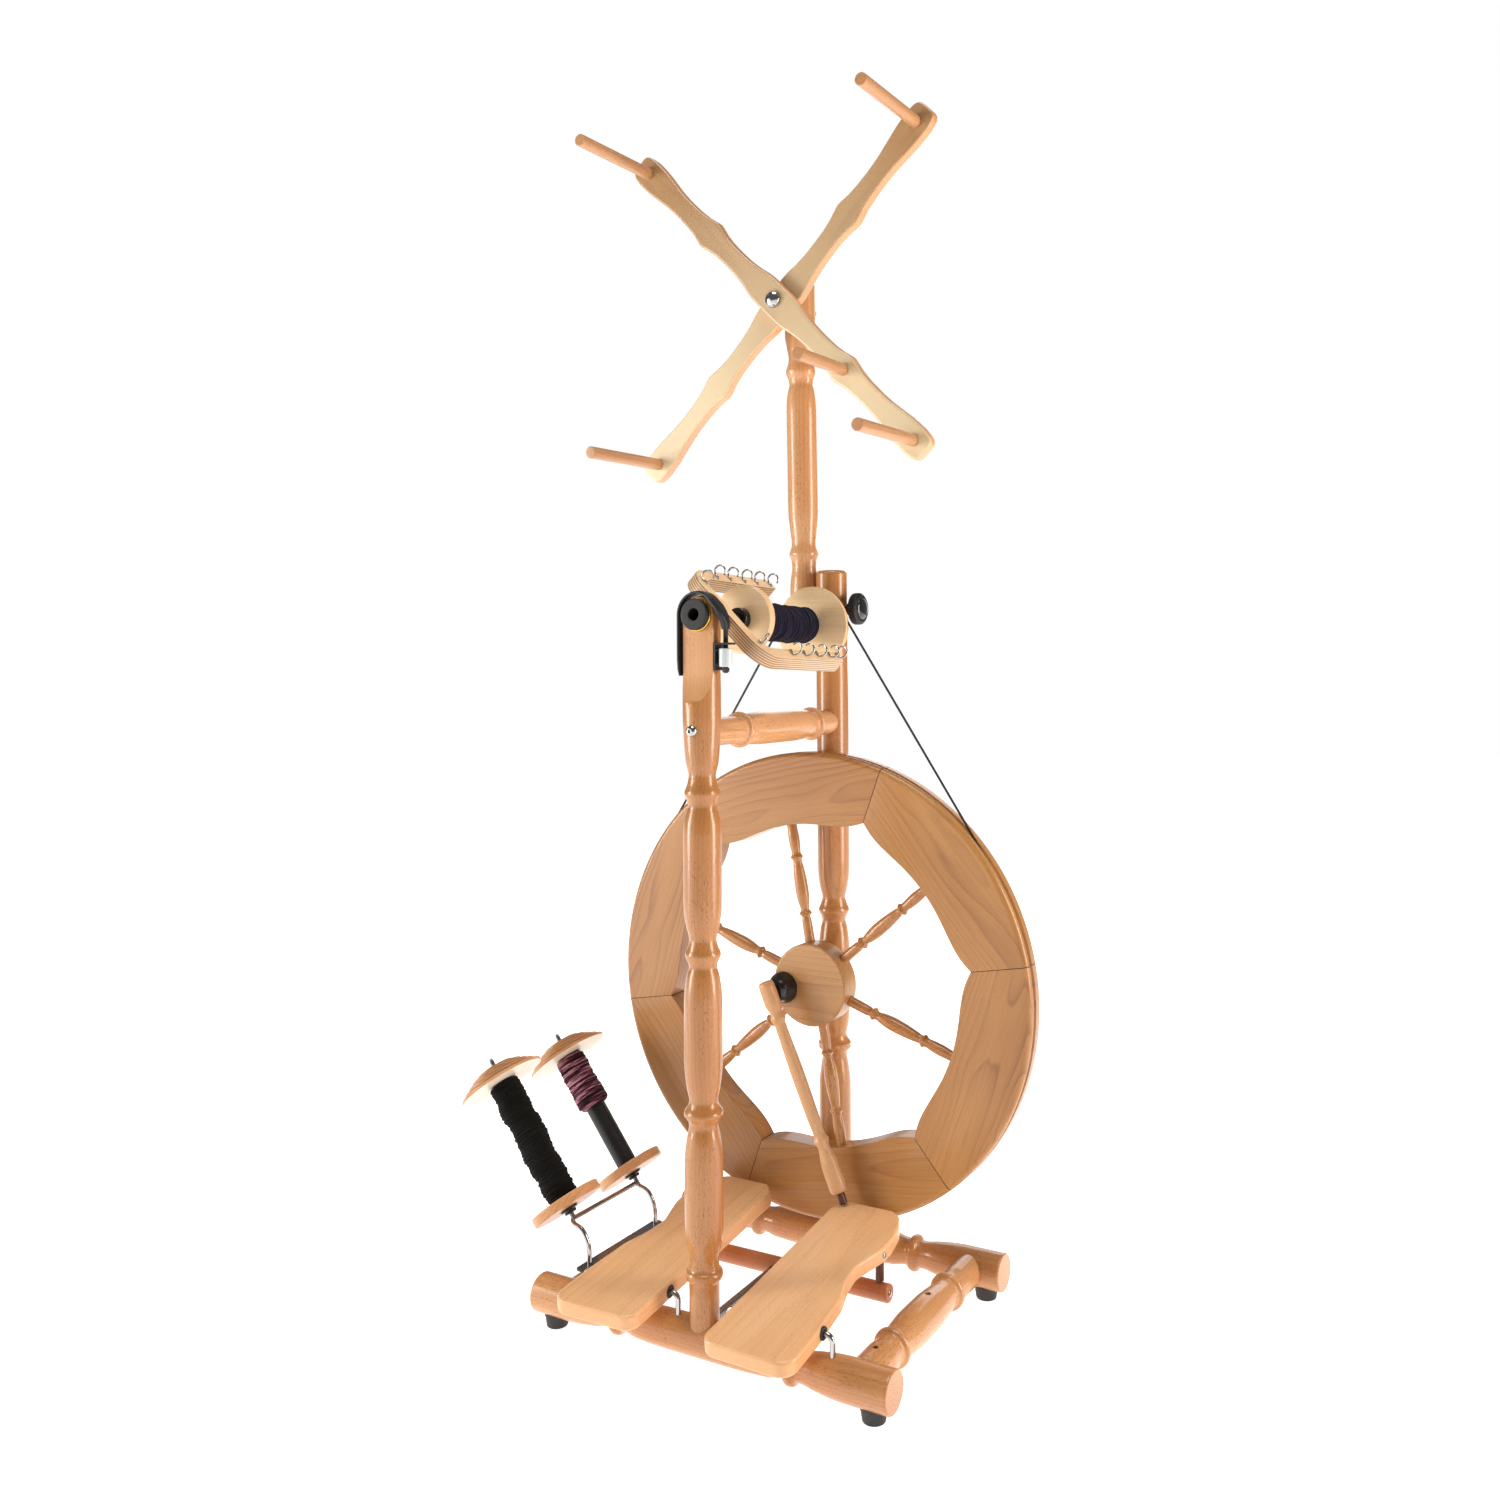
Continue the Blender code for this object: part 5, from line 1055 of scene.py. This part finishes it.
for side, s in (("right", 1), ("left", -1)):
    TR = place((0, HINGE_Y, HINGE_Z), (TREADLE_SLOPE, 0, 0))
    tm = wood("treadle_wood_" + side, TMID, TLIGHT, TDARK, axis='Y', seed=70 + 5 * s, rings=170, ring_amt=0.34, flecks=0.34, figure=1.5,
              pith=(-0.10 if s > 0 else 0.075, 0.05), rough=0.36, coat=0.25, tone=0.5, edge=('Z', lin(206, 148, 98), 0.5))
    finish_mesh("treadle_%s_board" % side, board(treadle_outline(s), -TREADLE_T / 2, TREADLE_T / 2, 'XY', 3.0, 5), tm, TR, side + "_treadle",
                ["treadle_" + side], 40)
    for e, sg in ((130.2, 1), (TREADLE_IN, -1)):
        bush = lathe(poly_prof([(HK := 3.1, -3.0), (6.0, -3.0), (6.0, 0.5), (HK, 0.5)], [0, 0, 0.5, 0.2], closed=True), 28, 'X', closed=True)
        if sg * s < 0:
            bmesh.ops.reverse_faces(bush, faces=bush.faces[:])
            for v in bush.verts:
                v.co.x = -v.co.x
        finish_mesh("hook_bushing_%s_%s" % (side, "outer" if e > 100 else "inner"), bush, RUBBER, place((s * e, HINGE_Y, HINGE_Z)), side + "_treadle", ())
    scr = lathe(poly_prof([(0, -1.0), (2.9, -1.0), (2.9, 0.7), (0, 1.2)], [0, 0, 0.5, 0]), 24, 'X')
    if s < 0:
        for v in scr.verts:
            v.co.x = -v.co.x
    finish_mesh("treadle_screw_" + side, scr, CHROME, place((s * 123.9, 134.0, 0), parent=TR), side + "_treadle", ())

HOOK_R = 2.6
for nm, x, s in (("hook_right_outer", 1, 1), ("hook_right_inner", 1, -1), ("hook_left_inner", -1, 1), ("hook_left_outer", -1, -1)):
    edge = (129.8 if s > 0 else 37.0) if x > 0 else (-37.0 if s > 0 else -129.8)
    leg = edge + s * 9.0
    rail_r = 18.0 if abs(leg) > 100 else 17.6
    foot = RAIL_Z + sqrt(rail_r ** 2 - HINGE_Y ** 2) - 0.4
    pts = [(leg, HINGE_Y, foot + (HINGE_Z - 6.5 - foot) * t) for t in (0, 0.25, 0.5, 0.75, 1.0)]
    for a in range(10, 91, 10):
        pts.append((leg - s * 6.5 * (1 - cos(radians(a))), HINGE_Y, HINGE_Z - 6.5 + 6.5 * sin(radians(a))))
    pts.append((edge + s * 0.2, HINGE_Y, HINGE_Z))
    finish_mesh(nm + "_chrome", tube(pts, HOOK_R, 20), CHROME, place(), "stand", [nm], 60)

# ---------------------------------------------------------------- rocker
arm_sec = [(RAIL_R - 1.0, 40.0), (ROCK_Y - ROCK_R - 8.0, ROCK_Z), (ROCK_Y - ROCK_R - 0.8, ROCK_Z)]
bm = bmesh.new()
rings = []
for k, (y, z) in enumerate(smooth_path([(0, 19.4, 40.0), (0, 60, 40.9), (0, 100, 42.0), (0, 125.0, 42.5)], 6)[0:0] or [(19.3, 40.0), (60, 41.0), (100, 42.0), (125.0, 42.5)]):
    rings.append([bm.verts.new((a, y, z + b)) for a, b in oval(3.9, 4.4, 24, 4.0)])
for A, B in zip(rings, rings[1:]):
    for k in range(24):
        bm.faces.new((A[k], A[(k + 1) % 24], B[(k + 1) % 24], B[k]))
bm.faces.new(rings[0])
bm.faces.new(rings[-1])
finish_mesh("rocker_arm_steel", bm, STEEL, place(), "stand", ["rocker_arm"], 40)
finish_mesh("rocker_arm_cap", lathe(poly_prof([(0, 118.0), (5.0, 118.0), (5.0, 125.4), (0, 125.4)], [0, 0.8, 0.8, 0]), 24, 'Y'), BLACK,
            place((0, 0, ROCK_Z)), "stand", ())
rb = poly_prof([(0, -ROCK_HALF), (ROCK_R, -ROCK_HALF), (ROCK_R, ROCK_HALF), (0, ROCK_HALF)], [0, 1.6, 1.6, 0], n=5)
rkw = wood("rocker_bar_wood", lin(176, 112, 74), lin(196, 134, 92), lin(140, 80, 48), axis='X', seed=77, rings=260, ring_amt=0.3, flecks=0.45)
finish_mesh("rocker_bar_turned", lathe(rb, 40, 'X'), rkw, place((0, ROCK_Y, ROCK_Z)), "rocker", ["rocker_bar"], 34)
for s in (1, -1):
    scr = lathe(poly_prof([(0, ROCK_HALF - 2), (3.4, ROCK_HALF - 2), (3.4, ROCK_HALF + 0.7), (0, ROCK_HALF + 1.2)], [0, 0, 0.6, 0]), 24, 'X')
    if s < 0:
        for v in scr.verts:
            v.co.x = -v.co.x
    finish_mesh("rocker_screw_%s" % ("right" if s > 0 else "left"), scr, CHROME, place((0, ROCK_Y, ROCK_Z)), "rocker", ())
zt = HINGE_Z + tan(TREADLE_SLOPE) * (ROCK_Y - HINGE_Y) - TREADLE_T / 2 / cos(TREADLE_SLOPE)
for side, s in (("right", 1), ("left", -1)):
    ll = zt - ROCK_Z - ROCK_R
    lp = poly_prof([(0, -0.3), (4.2, -0.3), (4.2, -ll + 1.4), (0, -ll + 1.4)], [0, 0.3, 0.8, 0])
    finish_mesh("rocker_link_%s_cord" % side, lathe(lp, 28, 'Z'), LINKMAT, place((s * LINK_X, ROCK_Y, zt)), side + "_rocker_link",
                ["rocker_link_" + side])

# ---------------------------------------------------------------- footman
axv = (FOOT_PIN - FOOT_LOW).normalized()
rotm = axv.to_track_quat('Z', 'Y').to_matrix().to_4x4()
FM = ROOT @ Matrix.Translation(FOOT_LOW) @ rotm
total = (FOOT_PIN - FOOT_LOW).length + 13.0
prof = [(7.7, 1.4), (8.5, 4.0), (8.8, 10.0), (8.8, 24.0), (7.9, 29.0), (6.4, 33.4), (6.9, 36.5), (8.2, 41.0), (7.4, 43.2), (6.1, 46.0), (6.3, 60.0),
        (7.2, 100.0), (6.8, 145.0), (6.0, 165.5), (6.6, 168.6), (8.3, 172.4), (7.0, 176.4), (6.1, 180.5), (7.4, 188.0), (9.1, 197.0), (9.4, 207.0),
        (9.4, 222.0), (9.0, 226.0)]
pp = curve_prof(prof, 1.8, 8)
pp = [(0, 0.0), (4.5, 0.0), (6.6, 0.5)] + pp + [(8.2, 227.4), (6.6, 228.0), (0, 228.1)]
pp = [(a, total - h) for a, h in reversed(pp)]
fmw = wood("footman_wood", lin(204, 150, 102), lin(224, 182, 138), lin(160, 104, 62), axis='Z', seed=81, rings=240, ring_amt=0.26, flecks=0.3)
finish_mesh("footman_turned", lathe(pp, 40, 'Z'), fmw, FM, "footman_stick", ["footman"], 34)
finish_mesh("footman_link_cord", lathe(poly_prof([(0, 1.6), (4.4, 1.6), (4.4, 13.0), (0, 13.0)], [0, 0.5, 0.8, 0]), 28, 'Z'), LINKMAT, FM,
            "footman_joint", ["footman_link"])

# ---------------------------------------------------------------- skein winder
SK = place((SK_X, REAR_Y, SK_CLAMP_Z), (SK_LEAN, 0, 0))
sk = [(16.2, -25.4), (16.2, 14.0), (16.2, 24.0), (15.4, 36.0), (13.6, 50.0), (14.0, 56.0), (15.2, 60.4), (16.6, 64.5), (15.4, 68.4), (13.6, 76.0),
      (15.2, 92.0), (17.0, 112.0), (17.1, 130.0), (17.1, 226.0), (16.6, 238.0), (15.2, 249.0), (13.3, 257.0), (14.0, 262.5), (15.4, 266.0), (16.9, 270.6), (16.4, 275.0),
      (14.8, 279.0), (13.6, 286.0), (15.6, 300.0), (17.4, 312.0), (17.5, 330.0), (17.5, 366.0)]
skp = [(0, -27.0), (14.6, -27.0), (15.8, -26.4)] + curve_prof(sk, 2.2) + [(17.1, 368.8), (16.0, 370.4), (14.4, 371.0), (0, 371.0)]
# the winder post gets a paler copy of the beech: painted light for the light it catches
finish_mesh("winder_post_turned", lathe(skp, 56, 'Z'), beech("winder_post_wood", 91.0, 'Z', painted_light_lift=1.36, flecks=0.75, pith=(0.03, 0.02), tone=0.55), SK,
            "winder_stand", ["winder_post"], 32)
PV = place((0, 0, SK_PIVOT), parent=SK)
ARM_K = [(0, 17.2), (14, 17.3), (26, 16.6), (44, 13.4), (60, 11.7), (74, 11.3), (90, 11.6), (104, 13.2), (114, 15.4), (120, 16.4), (126, 15.3), (138, 12.9),
         (156, 11.5), (170, 11.3), (184, 11.8), (202, 13.8), (222, 16.0), (238, 16.5), (248, 15.2)]


def arm_outline():
    half = [(w, s) for s, w in ARM_K]
    c = curve_prof(half, 3.0, 8)
    top = [(h, w) for w, h in c]
    top += [(251.5, 14.0), (254.4, 11.6), (255.7, 8.4), (256.0, 4.0)]
    left = [(-x, y) for x, y in reversed(top)]
    if abs(top[0][0]) < 1e-6:
        upper = left[:-1] + top
    else:
        upper = left + top
    lower = [(x, -y) for x, y in reversed(upper)]
    return upper + lower


for nm, y, roll, pegs, sd, bd in (("winder_arm_front", SK_ARM_FRONT, radians(45.6), [(-SK_PEG_R, SK_PEG_L), (SK_PEG_R, SK_PEG_L), (SK_PEG_MID, SK_PEG_MID_L)], 95.0, "winder"),
                                  ("winder_arm_rear", SK_ARM_FRONT + SK_ARM_T + SK_ARM_GAP, radians(-44.6), [(-SK_PEG_R, SK_PEG_L), (SK_PEG_R, SK_PEG_L)], 99.0, "winder_rear_arm")):
    AR = place((0, 0, 0), (0, roll, 0), PV)
    # each arm's lower end is painted paler: a painted highlight for the sheen on the veneer
    aw = wood(nm + "_wood", lin(166, 124, 80), lin(188, 148, 102), lin(120, 80, 42), axis='X', seed=sd, rings=170, ring_amt=0.40, flecks=0.2,
              figure=1.1, pith=(0.004, 0.09), rough=0.46, coat=1.0, edge=('Y', lin(206, 142, 88), 0.8), fleck_col=lin(130, 88, 50),
              ends=('X', (-0.20 if roll > 0 else 0.20), (0.20 if roll > 0 else -0.20), lin(226, 204, 164)))
    aw.node_tree.nodes["Principled BSDF"].inputs["Coat Roughness"].default_value = 0.34
    finish_mesh(nm + "_board", board(arm_outline(), y, y + SK_ARM_T, 'XZ', 2.6, 4), aw, AR, bd, [nm], 40)
    pw = wood(nm + "_peg_wood", lin(184, 134, 92), lin(204, 160, 120), lin(134, 84, 48), axis='Y', seed=sd + 1, rings=300, ring_amt=0.4, flecks=0.4, pith=(0.02, 0.02))
    for i, (x, ln) in enumerate(pegs):
        pg = poly_prof([(0, y + 1.5), (6.6, y + 1.5), (6.6, y - ln), (0, y - ln)], [0, 0, 1.0, 0], n=4)
        finish_mesh("%s_peg_%d" % (nm, i + 1), shift(lathe(pg, 36, 'Y'), (x, 0, 0)), pw, AR, bd, (), 34)

yf, yr = SK_ARM_FRONT, SK_ARM_FRONT + SK_ARM_T + SK_ARM_GAP
dome = [(9.4, yf - 0.4)] + [(9.4 * cos(radians(a)) * 0.98, yf - 1.2 - 6.4 * sin(radians(a))) for a in range(0, 90, 10)] + [(0, yf - 7.6)]
nut = lathe(list(reversed(dome)) + [(4.0, yf - 0.4), (4.0, yr + SK_ARM_T + 0.5), (13.0, yr + SK_ARM_T + 0.5), (13.0, -18.0), (4.0, -17.8), (4.0, 18.0),
                                    (8.0, 18.0), (8.0, 23.0), (0, 23.4)], 48, 'Y')
finish_mesh("winder_bolt_chrome", nut, CHROME, PV, "winder", ["winder_bolt"], 35)

KC = place((0, REAR_Y, SK_CLAMP_Z + 0.8))
kb_ = lathe(poly_prof([(0, -17.0), (3.0, -17.0), (3.0, 21.5), (7.0, 21.5), (8.0, 28.6), (16.9, 28.6), (17.6, 30.0), (17.6, 36.6), (14.6, 38.6), (0, 38.6)],
                      [0, 0, 0, 0.6, 0.4, 1.2, 0.6, 1.8, 0.8, 0], n=4), 144, 'X')
for v in kb_.verts:
    rr = hypot(v.co.y, v.co.z)
    if rr > 15.6:
        a = atan2(v.co.z, v.co.y)
        s = 1 - 0.035 * (0.5 + 0.5 * cos(36 * a))
        v.co.y *= s
        v.co.z *= s
finish_mesh("clamp_knob_black", kb_, BLACK, KC, "clamp", ["clamp_knob"], 50)
cap_ = [(11.6, 38.3), (11.6, 38.9)] + [(11.4 * cos(radians(q)), 38.9 + 2.2 * sin(radians(q))) for q in range(8, 90, 9)] + [(0, 41.1)]
finish_mesh("clamp_knob_cap", lathe([(0, 38.3)] + cap_, 48, 'X'), CAPBLACK, KC, "clamp", (), 50)

# ---------------------------------------------------------------- lazy kate
kx, (ky0, ky1) = KATE_X, KATE_Y
base_z = RAIL_Z + 18.8
bx, bz = KATE_BAR
low = 45.6


def kate_leg(y, s):
    return [(kx, y, low), (kx, y, low + 9), (kx, y, base_z + 13), (kx - 2.4, y, base_z + 24), (kx - 9.5, y, base_z + 35), (bx + 3.4, y + s * 0.2, bz - 3.4)]


wire = kate_leg(ky0, 1) + [(bx - 0.8, ky0 + 3.2, bz), (bx - 1.2, ky0 + 12.0, bz), (bx - 1.2, 0.5 * (ky0 + ky1), bz), (bx - 1.2, ky1 - 12.0, bz), (bx - 0.8, ky1 - 3.2, bz)] \
    + list(reversed(kate_leg(ky1, -1)))
finish_mesh("kate_wire_chrome", tube(smooth_path(wire, 6), 2.5, 16), CHROME, place(), "stand", ["kate_frame"], 60)
pl = rounded([(kx - 6.0, ky0 - 17.0), (kx + 6.0, ky0 - 17.0), (kx + 6.0, ky1 + 8.0), (kx - 6.0, ky1 + 8.0)], [5.5] * 4, 6)
finish_mesh("kate_plate_steel", board(pl, base_z + 1.2, base_z + 3.0, 'XY', 0.4, 2), STEEL, place(), "stand", (), 35)
KB = []
for i, y in enumerate(KATE_SPIN_Y):
    K = place((KATE_AXIS[0], y, KATE_AXIS[1]), (0, -KATE_TILT, 0))
    KB.append(K)
    spn = [(0, -4.0), (2.4, -4.0), (2.4, 181.0), (2.0, 183.4), (1.2, 184.4), (0, 184.4)]
    finish_mesh("kate_spindle_%d" % (i + 1), lathe(spn, 24, 'Z'), STEEL, K, "stand", (), 40)
    finish_mesh("kate_spindle_stop_%d" % (i + 1), lathe(poly_prof([(2.2, 3.6), (6.4, 3.6), (6.4, 6.3), (2.2, 6.3)], [0, 0.5, 0.5, 0], closed=True), 28, 'Z', closed=True),
                BLACK, K, "stand", ())
for i, (nm, yn) in enumerate((("kate_bobbin_front", "kate_yarn_front"), ("kate_bobbin_rear", "kate_yarn_rear"))):
    K, bd = KB[i], ("front_spare_bobbin", "rear_spare_bobbin")[i]
    kw = wood(nm + "_wood", lin(198, 142, 94), lin(220, 170, 122), lin(142, 86, 46), axis='Y', seed=111 + 4 * i, rings=220, ring_amt=0.5, flecks=0.3,
              figure=1.2, pith=(0.01, -0.06), rough=0.36)
    kt_ = wood(nm + "_step_wood", lin(196, 138, 88), lin(226, 178, 130), lin(150, 92, 52), axis='Y', seed=131 + 4 * i, rings=220, ring_amt=0.4, flecks=0.3,
               figure=0.8, pith=(0.03, 0.04), rough=0.4)
    kc = wood(nm + "_cream_wood", lin(232, 220, 200), lin(242, 234, 220), lin(206, 182, 150), axis='Y', seed=121 + 4 * i, rings=150, ring_amt=0.2, flecks=0.1,
              figure=0.8, pith=(0.03, 0.04), rough=0.4)
    base = poly_prof([(3.0, 9.0), (KATE_FLANGE_R, 9.0), (KATE_FLANGE_R, 19.0), (3.0, 19.0)], [0.3, 1.8, 1.8, 0.2], closed=True, n=5)
    finish_mesh(nm + "_flange", lathe(base, 80, 'Z', closed=True), kw, K, bd, [nm], 35)
    # five discs glued in steps, each with its rounded arris and a painted shadow line in the small notch at its foot
    steps = [(KATE_WHORL_R, 155.5, 158.9), (40.4, 158.9, 162.5), (34.6, 162.5, 166.1), (28.6, 166.1, 169.7), (21.0, 169.7, 173.0)]
    bms = []
    for j, (R_, z0, z1) in enumerate(steps):
        if j == 0:
            pr_ = poly_prof([(3.0, z0), (R_, z0), (R_, z1), (3.0, z1)], [0, 0.6, 1.1, 0], closed=True, n=4)
        else:
            pr_ = poly_prof([(3.0, z0), (R_ - 1.1, z0), (R_ - 1.1, z0 + 0.9), (R_, z0 + 0.9), (R_, z1), (3.0, z1)],
                            [0, 0, 0, 0.3, 1.1, 0], closed=True, n=4)
        bms.append(lathe(pr_, 96, 'Z', closed=True))
    bm = join(*bms)
    # faces in the notch at each step's foot take the dark line colour: painted shadow
    for f_ in bm.faces:
        c_ = f_.calc_center_median()
        rr = hypot(c_.x, c_.y)
        if c_.z < 155.6 and rr < KATE_WHORL_R - 0.4:
            f_.material_index = 1
        elif c_.z > 157 and any(abs(c_.z - z0) < 0.95 and rr < R_ - 0.2 for R_, z0, z1 in steps[1:]):
            f_.material_index = 2
    finish_mesh(nm + "_whorl", bm, [kw, kc, GLUE_AND_SHADOW_LINE], K, bd, (), 35)
    tb = poly_prof([(3.0, 7.0), (9.0, 7.0), (9.0, 9.0), (11.0, 9.0), (11.0, 155.5), (3.0, 155.5)], [0.2, 0.6, 0, 0, 0, 0], closed=True)
    finish_mesh(nm + "_tube", lathe(tb, 40, 'Z', closed=True), BLACK, K, bd, (), 35)
KY = yarn_mat("black_yarn_look", [lin(9, 9, 8), lin(20, 19, 16), lin(13, 12, 11)])
PY = yarn_mat("plum_yarn_look", [lin(18, 10, 15), lin(54, 22, 38), lin(20, 12, 18), lin(120, 60, 84), lin(232, 170, 184), lin(62, 26, 42)], 'Z', 420.0, 22.0)
finish_mesh("kate_yarn_front_wound", winding("a", 19.4, 155.1, 16.0, 3.6, 1.6, 'Z', 11, 3, 11.2, 0.0, 2.2), KY, KB[0], "front_spare_bobbin", ["kate_yarn_front"], 60)
finish_mesh("kate_yarn_rear_wound", winding("b", 92.5, 155.1, 16.6, 3.4, 1.5, 'Z', 17, 3, 11.2, 0.3, 1.4), PY, KB[1], "rear_spare_bobbin", ["kate_yarn_rear"], 60)

# ---------------------------------------------------------------- studio
fl = bmesh.new()
for x, y in ((-9, -6), (9, -6), (9, 9), (-9, 9)):
    fl.verts.new((x / MM, y / MM, 0))
fl.faces.new(fl.verts[:])
FN = Nodes("studio_floor_look")
FN.put(FN.b, "Base_Color", FN.mix(FN.noise(FN.mapping(), 3.0, 2.0), lin(240, 240, 240), lin(244, 244, 244)))
FN.set(Roughness=0.9, Emission_Color=(1.0, 0.995, 0.985, 1.0), Emission_Strength=0.90)
floor = finish_mesh("studio_floor", fl, FN.m, Matrix.Identity(4), None, flip_check=False)
floor.location.z = -0.0003

world = bpy.data.worlds.new("studio_world")
bpy.context.scene.world = world
world.use_nodes = True
wt = world.node_tree
bg = wt.nodes.get("Background")
bg.inputs["Color"].default_value = (1, 1, 1, 1)
bg.inputs["Strength"].default_value = 0.16
white = wt.nodes.new("ShaderNodeBackground")
white.inputs["Color"].default_value = (1, 1, 1, 1)
white.inputs["Strength"].default_value = 1.0
path = wt.nodes.new("ShaderNodeLightPath")
mixs = wt.nodes.new("ShaderNodeMixShader")
wt.links.new(path.outputs["Is Camera Ray"], mixs.inputs[0])
wt.links.new(bg.outputs[0], mixs.inputs[1])
wt.links.new(white.outputs[0], mixs.inputs[2])
wt.links.new(mixs.outputs[0], wt.nodes.get("World Output").inputs["Surface"])


def area(name, loc, target, size, power, col=(1, 1, 1)):
    l = bpy.data.lights.new(name, 'AREA')
    l.shape = 'RECTANGLE'
    l.size, l.size_y = size
    l.energy = power
    l.color = col
    o = bpy.data.objects.new(name, l)
    COL.objects.link(o)
    o.location = loc
    o.rotation_euler = (Vector(target) - Vector(loc)).to_track_quat('-Z', 'Y').to_euler()
    return o


area("left_light", (-1.8, -1.3, 0.75), (0, 0, 0.5), (0.6, 1.2), 34, (1.0, 0.96, 0.88))
area("right_light", (1.9, 0.45, 0.75), (0, 0, 0.5), (0.55, 1.2), 30, (1.0, 0.88, 0.78))
area("front_panel", (-1.45, -2.15, 0.72), (0, 0, 0.9), (0.9, 1.2), 5, (1.0, 0.97, 0.93))
area("top_light", (0.3, -0.6, 5.0), (0, 0, 0.4), (2.4, 2.4), 118, (1.0, 0.97, 0.93))
area("back_light", (-0.6, 2.4, 1.2), (0, 0, 0.5), (1.6, 1.2), 12)
